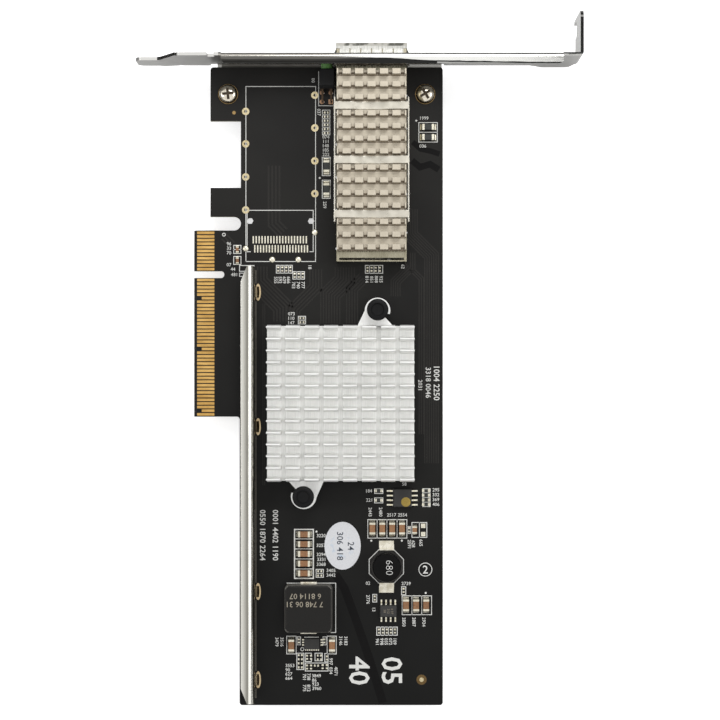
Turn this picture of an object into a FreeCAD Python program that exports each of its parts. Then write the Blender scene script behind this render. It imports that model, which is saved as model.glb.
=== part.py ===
import FreeCAD, Part
import math
import os
from FreeCAD import Vector

# Network interface card: a low-profile board on a full-height bracket, one port cage fitted.
# The origin is the middle of the key notch on the finger edge, half way through the board.
# +X runs from the fingers to the free long edge, +Y to the bracket, +Z is the component side.
# All sizes are in millimetres.

# ---- driving dimensions: board ----
BOARD_THICK = 1.57
BOARD_FRONT_Y = 57.1
BOARD_REAR_Y = -118.6
BOARD_FAR_X = 68.5
BOARD_NEAR_X = 12.53
BOARD_CORNER = 0.8
TONGUE_FRONT_Y = 12.15
TONGUE_REAR_Y = -39.15
KEY_WIDTH = 1.9
KEY_DEPTH = 8.3
TONGUE_SLOT = 3.79
FOOT_X = 4.5
FOOT_WIDTH = 7.96
RECESS_X = 12.87
RECESS_FRONT_Y = 42.3
BEVEL_RUN = 0.8
BEVEL_RISE = 0.4
NEARLY_HALF = 0.999
PLATING = 0.04
SMALL_HOLE_SIDES = 6
SPARE_HOLE_AT = (62.65, -111.6)
SPARE_HOLE = 1.2

# ---- edge fingers ----
FINGER_PITCH = 1.0
FINGER_WIDTH = 0.7
FINGER_LONG = 4.75
FINGER_SETBACK = 0.82
SHORT_SETBACK = 2.1
FRONT_FINGERS = 11
REAR_FINGERS = 38
SHORT_TOP_FINGERS = (17, 31, 48)
SHORT_BOTTOM_FINGERS = (1,)

# ---- bracket ----
BRACKET_THICK = 0.86
BRACKET_FACE_Y = 59.06
BRACKET_ABOVE = 14.3
BRACKET_WIDTH = 18.42
FLARE_WIDTH = 21.59
BRACKET_TAB_X = 106.0
TAB_REACH = 11.43
TAB_NECK_DROP = 1.6
TAB_WIDE_DROP = 5.7
TAB_WIDE_START = 6.2
TAB_NOTCH = 4.42
TAB_NOTCH_OFF = 8.2
TONGUE_TIP_X = -15.2
TONGUE_TIP_LONG = 6.9
TONGUE_TIP_WIDTH = 10.19
TONGUE_JOGGLE = 4.1
TONGUE_STEP = 0.7
NECK_X = 4.4
NECK_LONG = 1.9
NECK_DEPTH = 2.4
LIP_REACH = 2.15
LIP_START_X = 8.2
LIP_END_X = 100.6
BEND_RADIUS = 1.1
EAR_REACH = 13.2
FOOT_REACH = 5.2
EAR_HALF = 4.6

# ---- bracket screws ----
SCREW_Y = 49.7
SCREW_INSET = 4.85
SCREW_SHANK = 2.9
SCREW_HEAD = 5.3
SCREW_HEAD_HIGH = 1.9
SCREW_TIP = 1.0
SCREW_HOLE_GAP = 0.15
THREAD_GAP = 0.03

# ---- port cage ----
PORT_X = 48.85
PORT_PITCH = 25.05
CAGE_WIDTH = 19.0
CAGE_HIGH = 9.5
CAGE_REAR_Y = 3.0
CAGE_BACK_Y = 4.0
CAGE_FRONT_Y = 62.3
CAGE_SHEET = 0.3
CAGE_WINDOW_WIDTH = 15.6
CAGE_WINDOW_REAR_Y = 9.0
CAGE_WINDOW_FRONT_Y = 48.0
CAGE_LATCH_REACH = 0.9
CAGE_SLOT = 0.65
CAGE_SLOT_LONG = 17.6
PIN_HOLE = 1.05
PIN_WIDE = 0.76
PIN_DROP = 2.2
SIDE_PIN_PITCH = 9.05
LEFT_PIN_Y = 44.95
RIGHT_PIN_Y = 49.4
LAST_LEFT_PIN_Y = 7.2
LAST_RIGHT_PIN_Y = 11.6
REAR_PINS = (-2.3, 4.9)
PEG_HOLE = 1.6
PEG_HALF = 8.4
PEG_Y = 14.8

# ---- spring collar round the mouth of the cage ----
COLLAR_SHEET = 0.15
COLLAR_BAND = 1.5
COLLAR_RISE = 0.95
COLLAR_REAR_Y = 56.2
COLLAR_LOW_REAR_Y = 57.35
TOP_FINGERS = 6
SIDE_FINGERS = 3
COLLAR_SLIT = 0.3
WINDOW_GAP = 1.05

# ---- module connector inside the cage ----
CONNECTOR_WIDTH = 17.0
CONNECTOR_HIGH = 5.8
CONNECTOR_FRONT_Y = 15.6
CONNECTOR_REAR_Y = 5.4
CONNECTOR_MOUTH_WIDTH = 15.4
CONNECTOR_MOUTH_HIGH = 1.7
CONNECTOR_MOUTH_DEEP = 6.6
CONTACTS = 19
CONTACT_PITCH = 0.8
CONTACT_TAIL = 1.0
CONTACT_WIDE = 0.3
CONTACT_THICK = 0.2

# ---- heatsink that rides on the cage ----
RIDER_SIDE_INSET = 0.1
RIDER_BASE = 1.5
RIDER_HIGH = 4.2
RIDER_PAD = 0.5
RIDER_PAD_GAP = 0.35
RIDER_SLOTS = 6
RIDER_SLOT = 1.04
RIDER_SLOT_EDGE = 1.0
RIDER_FRONT_Y = 54.85
RIDER_PIN_LONG = 1.5
RIDER_PIN_PITCH = 3.42
RIDER_STRAP_PITCH = 4.4
RIDER_ROW_COUNTS = (3, 4, 4, 3)

# ---- spring clip over the riding heatsink ----
CLIP_SHEET = 0.35
CLIP_GAP = 0.3
CLIP_RAIL_HIGH = 6.0
CLIP_STRAP = 2.0
CLIP_ARM = 1.8
CLIP_RISE = 1.0
CLIP_LOW_HALF = 3.0
CLIP_RAMP_HALF = 5.3
CLIP_OVERRUN = 2.2
CLIP_NOTCH = 3.0

# ---- status light ----
LED_OFF_CAGE = 2.75
LED_WIDTH = 4.2
LED_REAR_Y = 50.7
LED_FRONT_Y = 56.1
LED_HIGH = 4.8
LED_LENS = 3.2
LED_LENS_UP = 2.6
LED_LENS_CLEAR = 0.25
LED_LEAD = 0.5
LED_LEAD_PITCH = 2.4
LED_LEAD_Y = (50.05, 47.6)
LED_LEAD_UP = (1.2, 3.2)
LED_LEAD_DROP = 2.6
LED_HOLE = 0.9

# ---- controller chip, its pad and the main heatsink ----
CHIP_X = 40.4
CHIP_Y = -35.5
CHIP_SIDE = 25.0
CHIP_SUBSTRATE = 1.2
CHIP_LID_SIDE = 21.0
CHIP_LID = 1.4
THERMAL_PAD_SIDE = 20.0
THERMAL_PAD = 0.3
SINK_X_SIZE = 40.2
SINK_Y_SIZE = 42.3
SINK_BASE = 2.0
SINK_TOP = 12.0
SINK_FINS = 14
SINK_FIN_THICK = 0.95
SINK_COLUMNS = 8
SINK_CHANNEL = 1.3
EAR_RADIUS = 3.5
EAR_NECK_HALF = 5.6
EAR_OFF_X = 10.1
EAR_OUT = 4.25

# ---- push pins that hold the main heatsink ----
PUSH_HEAD = 5.9
PUSH_HEAD_HIGH = 1.6
PUSH_SHANK = 2.8
PUSH_HOLE_GAP = 0.15
PUSH_BARB = 2.7
PUSH_BARB_LONG = 1.9
PUSH_BARB_DRAFT = 0.6
SPRING_LONG = 4.2
SPRING_TURNS = 4
SPRING_STEPS = 6
SPRING_WIRE = 0.45
SPRING_GAP = 0.3

# ---- stiffener rail ----
RAIL_THICK = 1.0
RAIL_FACE_X = 16.85
RAIL_WIDTH = 3.6
RAIL_HIGH = 8.0
RAIL_BEND = 1.9
RAIL_FRONT_Y = 1.9
RAIL_REAR_Y = -117.4
RAIL_TAPER = 4.2
RAIL_LIFT = 0.6
RAIL_TAB_X = 17.5
RAIL_FRONT_TAB = 6.75
RAIL_MIDDLE_TAB_Y = (-41.9, -87.3)
RAIL_REAR_TAB = 5.8
RAIL_TAB_LONG = 3.0
RAIL_TAB_THICK = 0.8
RAIL_TAB_DROP = 2.6
RAIL_SLOT_WIDE = 1.1
RAIL_SLOT_LONG = 4.0

# ---- power parts ----
CHOKE_X = 31.6
CHOKE_Y = -91.6
CHOKE_SIDE = 13.0
CHOKE_HIGH = 7.0
CHOKE_CORNER = 1.2
CHOKE_LIFT = 0.25
CHOKE_STRAP = 4.4
DRUM_X = 53.05
DRUM_Y = -80.4
DRUM_RADIUS = 3.85
DRUM_POST = 4.2
DRUM_INSET = 0.9
DRUM_HIGH = 4.2
DRUM_FLANGE = 0.9
DRUM_BASE_HALF = 4.5
DRUM_BASE = 0.9
DRUM_STRAP = 4.0
DRUM_STRAP_OUT = 1.6
STRAP_SHEET = 0.2

# ---- small chips ----
FLASH_AT = (57.33, -61.5)
FLASH_BODY = 5.25
FLASH_SPAN = 8.6
REGULATOR_AT = (53.5, -92.6)
REGULATOR_BODY = (4.9, 3.5)
REGULATOR_SPAN = 6.2
SMALL_CHIP_HIGH = 1.65
SMALL_CHIP_LIFT = 0.1
LEAD_PITCH = 1.27
LEAD_WIDE = 0.42
LEAD_THICK = 0.2
LEAD_FOOT = 0.8
DRIVER_AT = (32.4, -101.7)
DRIVER_SIZE = (4.2, 2.9)
DRIVER_HIGH = 0.9

# ---- chip capacitors and resistors: length, width, height, end cap ----
SIZE_1206 = (3.2, 1.6, 1.6, 0.55)
SIZE_1206_LOW = (3.2, 1.6, 0.9, 0.6)
SIZE_0805 = (2.0, 1.25, 1.2, 0.4)
SIZE_0603 = (1.6, 0.8, 0.5, 0.3)
END_CAP_WRAP = 0.03

# ---- inspection label ----
LABEL_AT = (40.9, -74.7)
LABEL_HALF_X = 5.0
LABEL_HALF_Y = 6.6
LABEL_THICK = 0.1
LABEL_SIDES = 32

# ---- sizes that follow from the ones above ----
TOP = BOARD_THICK / 2
BOTTOM = -BOARD_THICK / 2
SLOT_FAR_Y = TONGUE_FRONT_Y + TONGUE_SLOT
FOOT_FRONT_Y = SLOT_FAR_Y + FOOT_WIDTH
BRACKET_INNER_Y = BRACKET_FACE_Y - BRACKET_THICK
PLATE_HIGH_Z = TOP + BRACKET_ABOVE
PLATE_LOW_Z = PLATE_HIGH_Z - BRACKET_WIDTH
FLARE_LOW_Z = PLATE_HIGH_Z - FLARE_WIDTH
SCREW_XS = (FOOT_X + SCREW_INSET, BOARD_FAR_X - SCREW_INSET)
SPARE_PORT_X = PORT_X - PORT_PITCH
LED_X = PORT_X - CAGE_WIDTH / 2 - LED_OFF_CAGE
RAIL_TAB_Y = (RAIL_FRONT_Y - RAIL_FRONT_TAB, *RAIL_MIDDLE_TAB_Y, RAIL_REAR_Y + RAIL_REAR_TAB)
CAGE_TOP_Z = TOP + CAGE_HIGH
RIDER_WIDTH = CAGE_WIDTH - 2 * RIDER_SIDE_INSET
RIDER_SLOT_PITCH = (RIDER_WIDTH - 2 * RIDER_SLOT_EDGE) / (RIDER_SLOTS - 1)
RIDER_FLOOR_Z = CAGE_TOP_Z + RIDER_BASE
RIDER_TOP_Z = CAGE_TOP_Z + RIDER_HIGH
SINK_BASE_Z = TOP + CHIP_SUBSTRATE + CHIP_LID + THERMAL_PAD
SINK_EAR_Z = SINK_BASE_Z + SINK_BASE
SINK_TOP_Z = TOP + SINK_TOP
PUSH_HEAD_Z = SINK_EAR_Z + SPRING_LONG
EAR_OFF_Y = SINK_Y_SIZE / 2 + EAR_OUT
PUSH_POINTS = ((CHIP_X + EAR_OFF_X, CHIP_Y + EAR_OFF_Y), (CHIP_X - EAR_OFF_X, CHIP_Y - EAR_OFF_Y))


# ---- helpers ----
def box(x0, x1, y0, y1, z0, z1):
    """Block between two corners."""
    return Part.makeBox(x1 - x0, y1 - y0, z1 - z0, Vector(x0, y0, z0))


def rod(x, y, z0, z1, diameter):
    """Upright cylinder."""
    return Part.makeCylinder(diameter / 2, z1 - z0, Vector(x, y, z0))


def small_hole(x, y, z0, z1, diameter):
    """Cutter for a small hole, six-sided round a circle of the given diameter."""
    reach = diameter / 2 / math.cos(math.pi / SMALL_HOLE_SIDES)
    angles = [index * 2 * math.pi / SMALL_HOLE_SIDES for index in range(SMALL_HOLE_SIDES + 1)]
    points = [Vector(x + reach * math.cos(a), y + reach * math.sin(a), z0) for a in angles]
    return Part.Face(Part.makePolygon(points)).extrude(Vector(0, 0, z1 - z0))


def outline(corners):
    """Closed wire through corners (x, y, radius), each rounded by an arc."""
    points = [Vector(corner[0], corner[1], 0) for corner in corners]
    legs = []
    for index, corner in enumerate(corners):
        here = points[index]
        back = (points[index - 1] - here).normalize()
        ahead = (points[(index + 1) % len(points)] - here).normalize()
        radius = corner[2]
        if radius == 0:
            legs.append((here, None, here))
            continue
        half = back.getAngle(ahead) / 2
        reach = radius / math.tan(half)
        centre = here + (back + ahead).normalize() * (radius / math.sin(half))
        middle = centre + (here - centre).normalize() * radius
        legs.append((here + back * reach, middle, here + ahead * reach))
    edges = []
    for index, (start, middle, end) in enumerate(legs):
        before = legs[index - 1][2]
        if before.distanceToPoint(start) > 1e-6:
            edges.append(Part.makeLine(before, start))
        if middle is not None:
            edges.append(Part.Arc(start, middle, end).toShape())
    return Part.Wire(edges)


def prism(corners, z0, z1):
    """Outline in XY, pushed from z0 up to z1."""
    face = Part.Face(outline(corners))
    face.translate(Vector(0, 0, z0))
    return face.extrude(Vector(0, 0, z1 - z0))


def prism_y(corners, y0, y1):
    """Outline of (x, z, radius) corners, pushed from y0 to y1."""
    face = Part.Face(outline(corners))
    face.rotate(Vector(0, 0, 0), Vector(1, 0, 0), 90)
    face.translate(Vector(0, y0, 0))
    return face.extrude(Vector(0, y1 - y0, 0))


def prism_x(corners, x0, x1):
    """Outline of (y, z, radius) corners, pushed from x0 to x1."""
    face = Part.Face(outline(corners))
    face.rotate(Vector(0, 0, 0), Vector(1, 1, 1), 120)
    face.translate(Vector(x0, 0, 0))
    return face.extrude(Vector(x1 - x0, 0, 0))


def turned(points, x, y):
    """Solid of revolution about an upright line, from (radius, z) points."""
    wire = Part.makePolygon([Vector(radius, 0, z) for radius, z in points + points[:1]])
    solid = Part.Face(wire).revolve(Vector(0, 0, 0), Vector(0, 0, 1), 360)
    solid.translate(Vector(x, y, 0))
    return solid


def drafted(x, y, size_x, size_y, z0, z1, inset):
    """Moulded block that narrows by inset on each side from z0 to z1."""
    wires = []
    for z, less in ((z0, 0), (z1, inset)):
        half_x = size_x / 2 - less
        half_y = size_y / 2 - less
        ring = [(-half_x, -half_y), (half_x, -half_y), (half_x, half_y), (-half_x, half_y)]
        points = [Vector(x + dx, y + dy, z) for dx, dy in ring]
        wires.append(Part.makePolygon(points + points[:1]))
    return Part.makeLoft(wires, True, True)


def fused(shapes):
    """One solid out of several that touch."""
    whole = shapes[0]
    if len(shapes) > 1:
        whole = whole.fuse(shapes[1:])
    return whole.removeSplitter()


def group(shapes):
    """Separate solids kept together in one node."""
    return Part.makeCompound(shapes)


def row(count, pitch):
    """Offsets of count things about a middle."""
    return [(index - (count - 1) / 2) * pitch for index in range(count)]


# ---- circuit board ----
def pin_places(port_x):
    """Press-fit pin holes of one port, as (x, y, side)."""
    wall = (CAGE_WIDTH - CAGE_SHEET) / 2
    left = [LEFT_PIN_Y - SIDE_PIN_PITCH * index for index in range(4)] + [LAST_LEFT_PIN_Y]
    right = [RIGHT_PIN_Y - SIDE_PIN_PITCH * index for index in range(4)] + [LAST_RIGHT_PIN_Y]
    places = [(port_x - wall, y, "side") for y in left]
    places += [(port_x + wall, y, "side") for y in right]
    places += [(port_x + dx, CAGE_BACK_Y + CAGE_SHEET / 2, "rear") for dx in REAR_PINS]
    return places


def rail_slot(y):
    """Upright slot for one tab of the rail, long in Y, with pointed ends."""
    half = RAIL_SLOT_WIDE / 2
    end = RAIL_SLOT_LONG / 2
    x = RAIL_TAB_X
    corners = [(x - half, y - end + half), (x, y - end), (x + half, y - end + half),
               (x + half, y + end - half), (x, y + end), (x - half, y + end - half)]
    return prism([(px, py, 0) for px, py in corners], BOTTOM, TOP)


def board_outline():
    """Corners of the board, from the front left corner clockwise."""
    key = KEY_WIDTH / 2
    return [
        (FOOT_X, BOARD_FRONT_Y, BOARD_CORNER),
        (BOARD_FAR_X, BOARD_FRONT_Y, BOARD_CORNER),
        (BOARD_FAR_X, BOARD_REAR_Y, BOARD_CORNER),
        (BOARD_NEAR_X, BOARD_REAR_Y, BOARD_CORNER),
        (BOARD_NEAR_X, TONGUE_REAR_Y, BOARD_CORNER),
        (0, TONGUE_REAR_Y, 0),
        (0, -key, 0),
        (KEY_DEPTH, -key, key * NEARLY_HALF),
        (KEY_DEPTH, key, key * NEARLY_HALF),
        (0, key, 0),
        (0, TONGUE_FRONT_Y, 0),
        (RECESS_X, TONGUE_FRONT_Y, TONGUE_SLOT / 2 * NEARLY_HALF),
        (RECESS_X, SLOT_FAR_Y, TONGUE_SLOT / 2 * NEARLY_HALF),
        (FOOT_X, SLOT_FAR_Y, 0),
        (FOOT_X, FOOT_FRONT_Y, 0),
        (RECESS_X, FOOT_FRONT_Y, 0),
        (RECESS_X, RECESS_FRONT_Y, 0),
        (FOOT_X, RECESS_FRONT_Y, 0),
    ]


def circuit_board():
    """Board with its bevelled tongue and every drilled hole and slot."""
    board = prism(board_outline(), BOTTOM, TOP)
    cuts = []
    for side in (1, -1):
        face = side * TOP
        wedge = [(0, face, 0), (BEVEL_RUN, face, 0), (0, face - side * BEVEL_RISE, 0)]
        cuts.append(prism_y(wedge, TONGUE_REAR_Y, TONGUE_FRONT_Y))
    for x in SCREW_XS:
        cuts.append(small_hole(x, SCREW_Y, BOTTOM, TOP, SCREW_SHANK + 2 * SCREW_HOLE_GAP))
    for x, y in PUSH_POINTS:
        cuts.append(small_hole(x, y, BOTTOM, TOP, PUSH_SHANK + 2 * PUSH_HOLE_GAP))
    cuts.append(rod(SPARE_HOLE_AT[0], SPARE_HOLE_AT[1], BOTTOM, TOP, SPARE_HOLE))
    for port_x in (PORT_X, SPARE_PORT_X):
        for x, y, _ in pin_places(port_x):
            cuts.append(small_hole(x, y, BOTTOM, TOP, PIN_HOLE))
        for side in (1, -1):
            cuts.append(small_hole(port_x + side * PEG_HALF, PEG_Y, BOTTOM, TOP, PEG_HOLE))
    for y in RAIL_TAB_Y:
        cuts.append(rail_slot(y))
    for dx in row(2, LED_LEAD_PITCH):
        for y in LED_LEAD_Y:
            cuts.append(small_hole(LED_X + dx, y, BOTTOM, TOP, LED_HOLE))
    return board.cut(cuts).removeSplitter()


def finger(number, side, short):
    """One plated contact of the tongue, numbered from the bracket end."""
    if number <= FRONT_FINGERS:
        y = TONGUE_FRONT_Y - (number - 0.35) * FINGER_PITCH
    else:
        y = -KEY_WIDTH / 2 - (number - FRONT_FINGERS - 0.45) * FINGER_PITCH
    start = SHORT_SETBACK if short else FINGER_SETBACK
    half = FINGER_WIDTH / 2
    z = TOP if side > 0 else BOTTOM - PLATING
    return box(start, FINGER_SETBACK + FINGER_LONG, y - half, y + half, z, z + PLATING)


def edge_fingers():
    """Both rows of contacts."""
    plates = []
    for number in range(1, FRONT_FINGERS + REAR_FINGERS + 1):
        plates.append(finger(number, 1, number in SHORT_TOP_FINGERS))
        plates.append(finger(number, -1, number in SHORT_BOTTOM_FINGERS))
    return group(plates)


# ---- bracket and its screws ----
def bracket_plate():
    """Flat face of the bracket, flared beside the tab and notched beside the tongue."""
    flare_start = LIP_END_X - 4.5
    return prism_y([
        (NECK_X + NECK_LONG, PLATE_LOW_Z, 0),
        (flare_start - 3.4, PLATE_LOW_Z, 0),
        (flare_start, FLARE_LOW_Z, 0),
        (BRACKET_TAB_X - 2.4, FLARE_LOW_Z, 1.2),
        (BRACKET_TAB_X - BEND_RADIUS, TOP - TAB_NECK_DROP, 0),
        (BRACKET_TAB_X - BEND_RADIUS, PLATE_HIGH_Z, 0),
        (LIP_END_X, PLATE_HIGH_Z, 0),
        (LIP_END_X, PLATE_HIGH_Z - BEND_RADIUS, 0),
        (LIP_START_X, PLATE_HIGH_Z - BEND_RADIUS, 0),
        (LIP_START_X, PLATE_HIGH_Z, 0),
        (NECK_X + NECK_LONG, PLATE_HIGH_Z, 0),
        (NECK_X + NECK_LONG, PLATE_HIGH_Z - NECK_DEPTH, 0),
        (NECK_X, PLATE_HIGH_Z - NECK_DEPTH, 0),
        (NECK_X, PLATE_HIGH_Z, 0),
        (TONGUE_TIP_X + TONGUE_TIP_LONG + TONGUE_JOGGLE, PLATE_HIGH_Z, 1.5),
        (TONGUE_TIP_X + TONGUE_TIP_LONG + TONGUE_JOGGLE, PLATE_LOW_Z, 1.5),
        (NECK_X, PLATE_LOW_Z, 0),
        (NECK_X, PLATE_LOW_Z + NECK_DEPTH, 0),
        (NECK_X + NECK_LONG, PLATE_LOW_Z + NECK_DEPTH, 0),
    ], BRACKET_INNER_Y, BRACKET_FACE_Y)


def bracket_tongue():
    """Narrow tip, set back by a step and joined to the plate by a joggle."""
    middle = (PLATE_HIGH_Z + PLATE_LOW_Z) / 2
    root_x = TONGUE_TIP_X + TONGUE_TIP_LONG + TONGUE_JOGGLE
    bend_x = TONGUE_TIP_X + TONGUE_TIP_LONG
    section = [
        (TONGUE_TIP_X, BRACKET_FACE_Y - TONGUE_STEP, 0),
        (bend_x, BRACKET_FACE_Y - TONGUE_STEP, 0),
        (root_x, BRACKET_FACE_Y, 0),
        (root_x, BRACKET_INNER_Y, 0),
        (bend_x, BRACKET_INNER_Y - TONGUE_STEP, 0),
        (TONGUE_TIP_X, BRACKET_INNER_Y - TONGUE_STEP, 0),
    ]
    strip = prism(section, PLATE_LOW_Z, PLATE_HIGH_Z)
    half = TONGUE_TIP_WIDTH / 2
    wide = BRACKET_WIDTH / 2
    face = [
        (TONGUE_TIP_X, middle - half, 2.0),
        (bend_x - 1.0, middle - half, 0),
        (root_x, middle - wide, 0),
        (root_x, middle + wide, 0),
        (bend_x - 1.0, middle + half, 0),
        (TONGUE_TIP_X, middle + half, 2.0),
    ]
    return strip.common(prism_y(face, BRACKET_INNER_Y - 2, BRACKET_FACE_Y + 1))


def bracket_lip():
    """Edge folded in over the card, with rounded ends."""
    inner = BEND_RADIUS - BRACKET_THICK
    tip_y = BRACKET_FACE_Y - LIP_REACH - BRACKET_THICK
    low_z = PLATE_HIGH_Z - BEND_RADIUS
    under_z = PLATE_HIGH_Z - BRACKET_THICK
    section = [
        (BRACKET_FACE_Y, low_z, 0),
        (BRACKET_FACE_Y, PLATE_HIGH_Z, BEND_RADIUS * NEARLY_HALF),
        (tip_y, PLATE_HIGH_Z, 0),
        (tip_y, under_z, 0),
        (BRACKET_INNER_Y, under_z, inner * NEARLY_HALF),
        (BRACKET_INNER_Y, low_z, 0),
    ]
    fold = prism_x(section, LIP_START_X, LIP_END_X)
    plan = [
        (LIP_START_X, BRACKET_FACE_Y, 0),
        (LIP_START_X, tip_y, LIP_REACH * 0.6),
        (LIP_END_X, tip_y, LIP_REACH * 0.6),
        (LIP_END_X, BRACKET_FACE_Y, 0),
    ]
    return fold.common(prism(plan, low_z, PLATE_HIGH_Z))


def bracket_tab():
    """Tab folded outward, with the screw notch open to the solder side."""
    inner = BEND_RADIUS - BRACKET_THICK
    tip_y = BRACKET_FACE_Y + TAB_REACH
    inside_x = BRACKET_TAB_X - BRACKET_THICK
    root_x = BRACKET_TAB_X - BEND_RADIUS
    section = [
        (root_x, BRACKET_INNER_Y, 0),
        (BRACKET_TAB_X, BRACKET_INNER_Y, BEND_RADIUS * NEARLY_HALF),
        (BRACKET_TAB_X, tip_y, 0),
        (inside_x, tip_y, 0),
        (inside_x, BRACKET_FACE_Y, inner * NEARLY_HALF),
        (root_x, BRACKET_FACE_Y, 0),
    ]
    fold = prism(section, FLARE_LOW_Z, PLATE_HIGH_Z)
    neck_z = TOP - TAB_NECK_DROP
    wide_z = TOP - TAB_WIDE_DROP
    wide_y = BRACKET_FACE_Y + TAB_WIDE_START
    face = [
        (BRACKET_INNER_Y, neck_z, 0),
        (wide_y, neck_z, 0),
        (wide_y, wide_z, 0),
        (tip_y, wide_z, 1.2),
        (tip_y, PLATE_HIGH_Z, 2.0),
        (BRACKET_INNER_Y, PLATE_HIGH_Z, 0),
    ]
    tab = fold.common(prism_x(face, root_x, BRACKET_TAB_X))
    notch_y = BRACKET_FACE_Y + TAB_NOTCH_OFF
    half = TAB_NOTCH / 2
    floor_z = neck_z + TAB_NOTCH
    notch = [
        (notch_y - half, wide_z, 0),
        (notch_y + half, wide_z, 0),
        (notch_y + half, floor_z, half * NEARLY_HALF),
        (notch_y - half, floor_z, half * NEARLY_HALF),
    ]
    return tab.cut(prism_x(notch, inside_x, BRACKET_TAB_X))


def bracket_foot():
    """Flange under the board with an ear and a threaded hole at each screw."""
    high_z = BOTTOM
    low_z = BOTTOM - BRACKET_THICK
    inner = BEND_RADIUS - BRACKET_THICK
    start_x = SCREW_XS[0] - EAR_HALF + 1.6
    end_x = SCREW_XS[1] + EAR_HALF
    ear_y = BRACKET_FACE_Y - EAR_REACH
    between_y = BRACKET_FACE_Y - FOOT_REACH
    section = [
        (BRACKET_FACE_Y, low_z + BEND_RADIUS, 0),
        (BRACKET_FACE_Y, low_z, BEND_RADIUS * NEARLY_HALF),
        (ear_y, low_z, 0),
        (ear_y, high_z, 0),
        (BRACKET_INNER_Y, high_z, inner * NEARLY_HALF),
        (BRACKET_INNER_Y, low_z + BEND_RADIUS, 0),
    ]
    flange = prism_x(section, start_x, end_x)
    plan = [
        (start_x, BRACKET_FACE_Y, 0),
        (start_x, ear_y, 0),
        (SCREW_XS[0] + EAR_HALF, ear_y, 0),
        (SCREW_XS[0] + EAR_HALF, between_y, 0),
        (SCREW_XS[1] - EAR_HALF, between_y, 0),
        (SCREW_XS[1] - EAR_HALF, ear_y, 0),
        (end_x, ear_y, 0),
        (end_x, BRACKET_FACE_Y, 0),
    ]
    flange = flange.common(prism(plan, low_z, low_z + BEND_RADIUS))
    hole = SCREW_SHANK + 2 * THREAD_GAP
    return flange.cut([small_hole(x, SCREW_Y, low_z, high_z, hole) for x in SCREW_XS])


def bracket():
    """Whole bracket, folded from one sheet."""
    plate = bracket_plate()
    start_x = SCREW_XS[0] - EAR_HALF + 1.6
    end_x = SCREW_XS[1] + EAR_HALF
    bend_z = BOTTOM - BRACKET_THICK + BEND_RADIUS
    relief = 0.6
    half = CAGE_WIDTH / 2 + WINDOW_GAP
    window = [
        (PORT_X - half, TOP - WINDOW_GAP, 0),
        (PORT_X + half, TOP - WINDOW_GAP, 0),
        (PORT_X + half, CAGE_TOP_Z + WINDOW_GAP, 0),
        (PORT_X - half, CAGE_TOP_Z + WINDOW_GAP, 0),
    ]
    lamp = Part.makeCylinder(LED_LENS / 2 + LED_LENS_CLEAR, BRACKET_THICK,
                             Vector(LED_X, BRACKET_INNER_Y, TOP + LED_LENS_UP), Vector(0, 1, 0))
    plate = plate.cut([
        box(start_x - relief, end_x + relief, BRACKET_INNER_Y, BRACKET_FACE_Y, PLATE_LOW_Z, bend_z),
        prism_y(window, BRACKET_INNER_Y, BRACKET_FACE_Y),
        lamp,
    ])
    return fused([plate, bracket_tongue(), bracket_lip(), bracket_tab(), bracket_foot()])


def bracket_screws():
    """Pan-head screws with a cross recess, from the component side into the bracket foot."""
    screws = []
    radius = SCREW_HEAD / 2
    shank = SCREW_SHANK / 2
    tip_z = BOTTOM - BRACKET_THICK - SCREW_TIP
    high = SCREW_HEAD_HIGH
    profile = [
        (0, tip_z), (shank, tip_z), (shank, TOP), (radius, TOP), (radius * 0.75, TOP + high),
        (0, TOP + high),
    ]
    arm = radius * 0.56
    for x in SCREW_XS:
        screw = turned(profile, x, SCREW_Y)
        floor_z = TOP + high * 0.3
        cross = [
            drafted(x, SCREW_Y, 0.6, arm, floor_z, TOP + high, -0.2),
            drafted(x, SCREW_Y, arm, 0.6, floor_z, TOP + high, -0.2),
        ]
        screws.append(screw.cut(cross))
    return group(screws)


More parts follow.
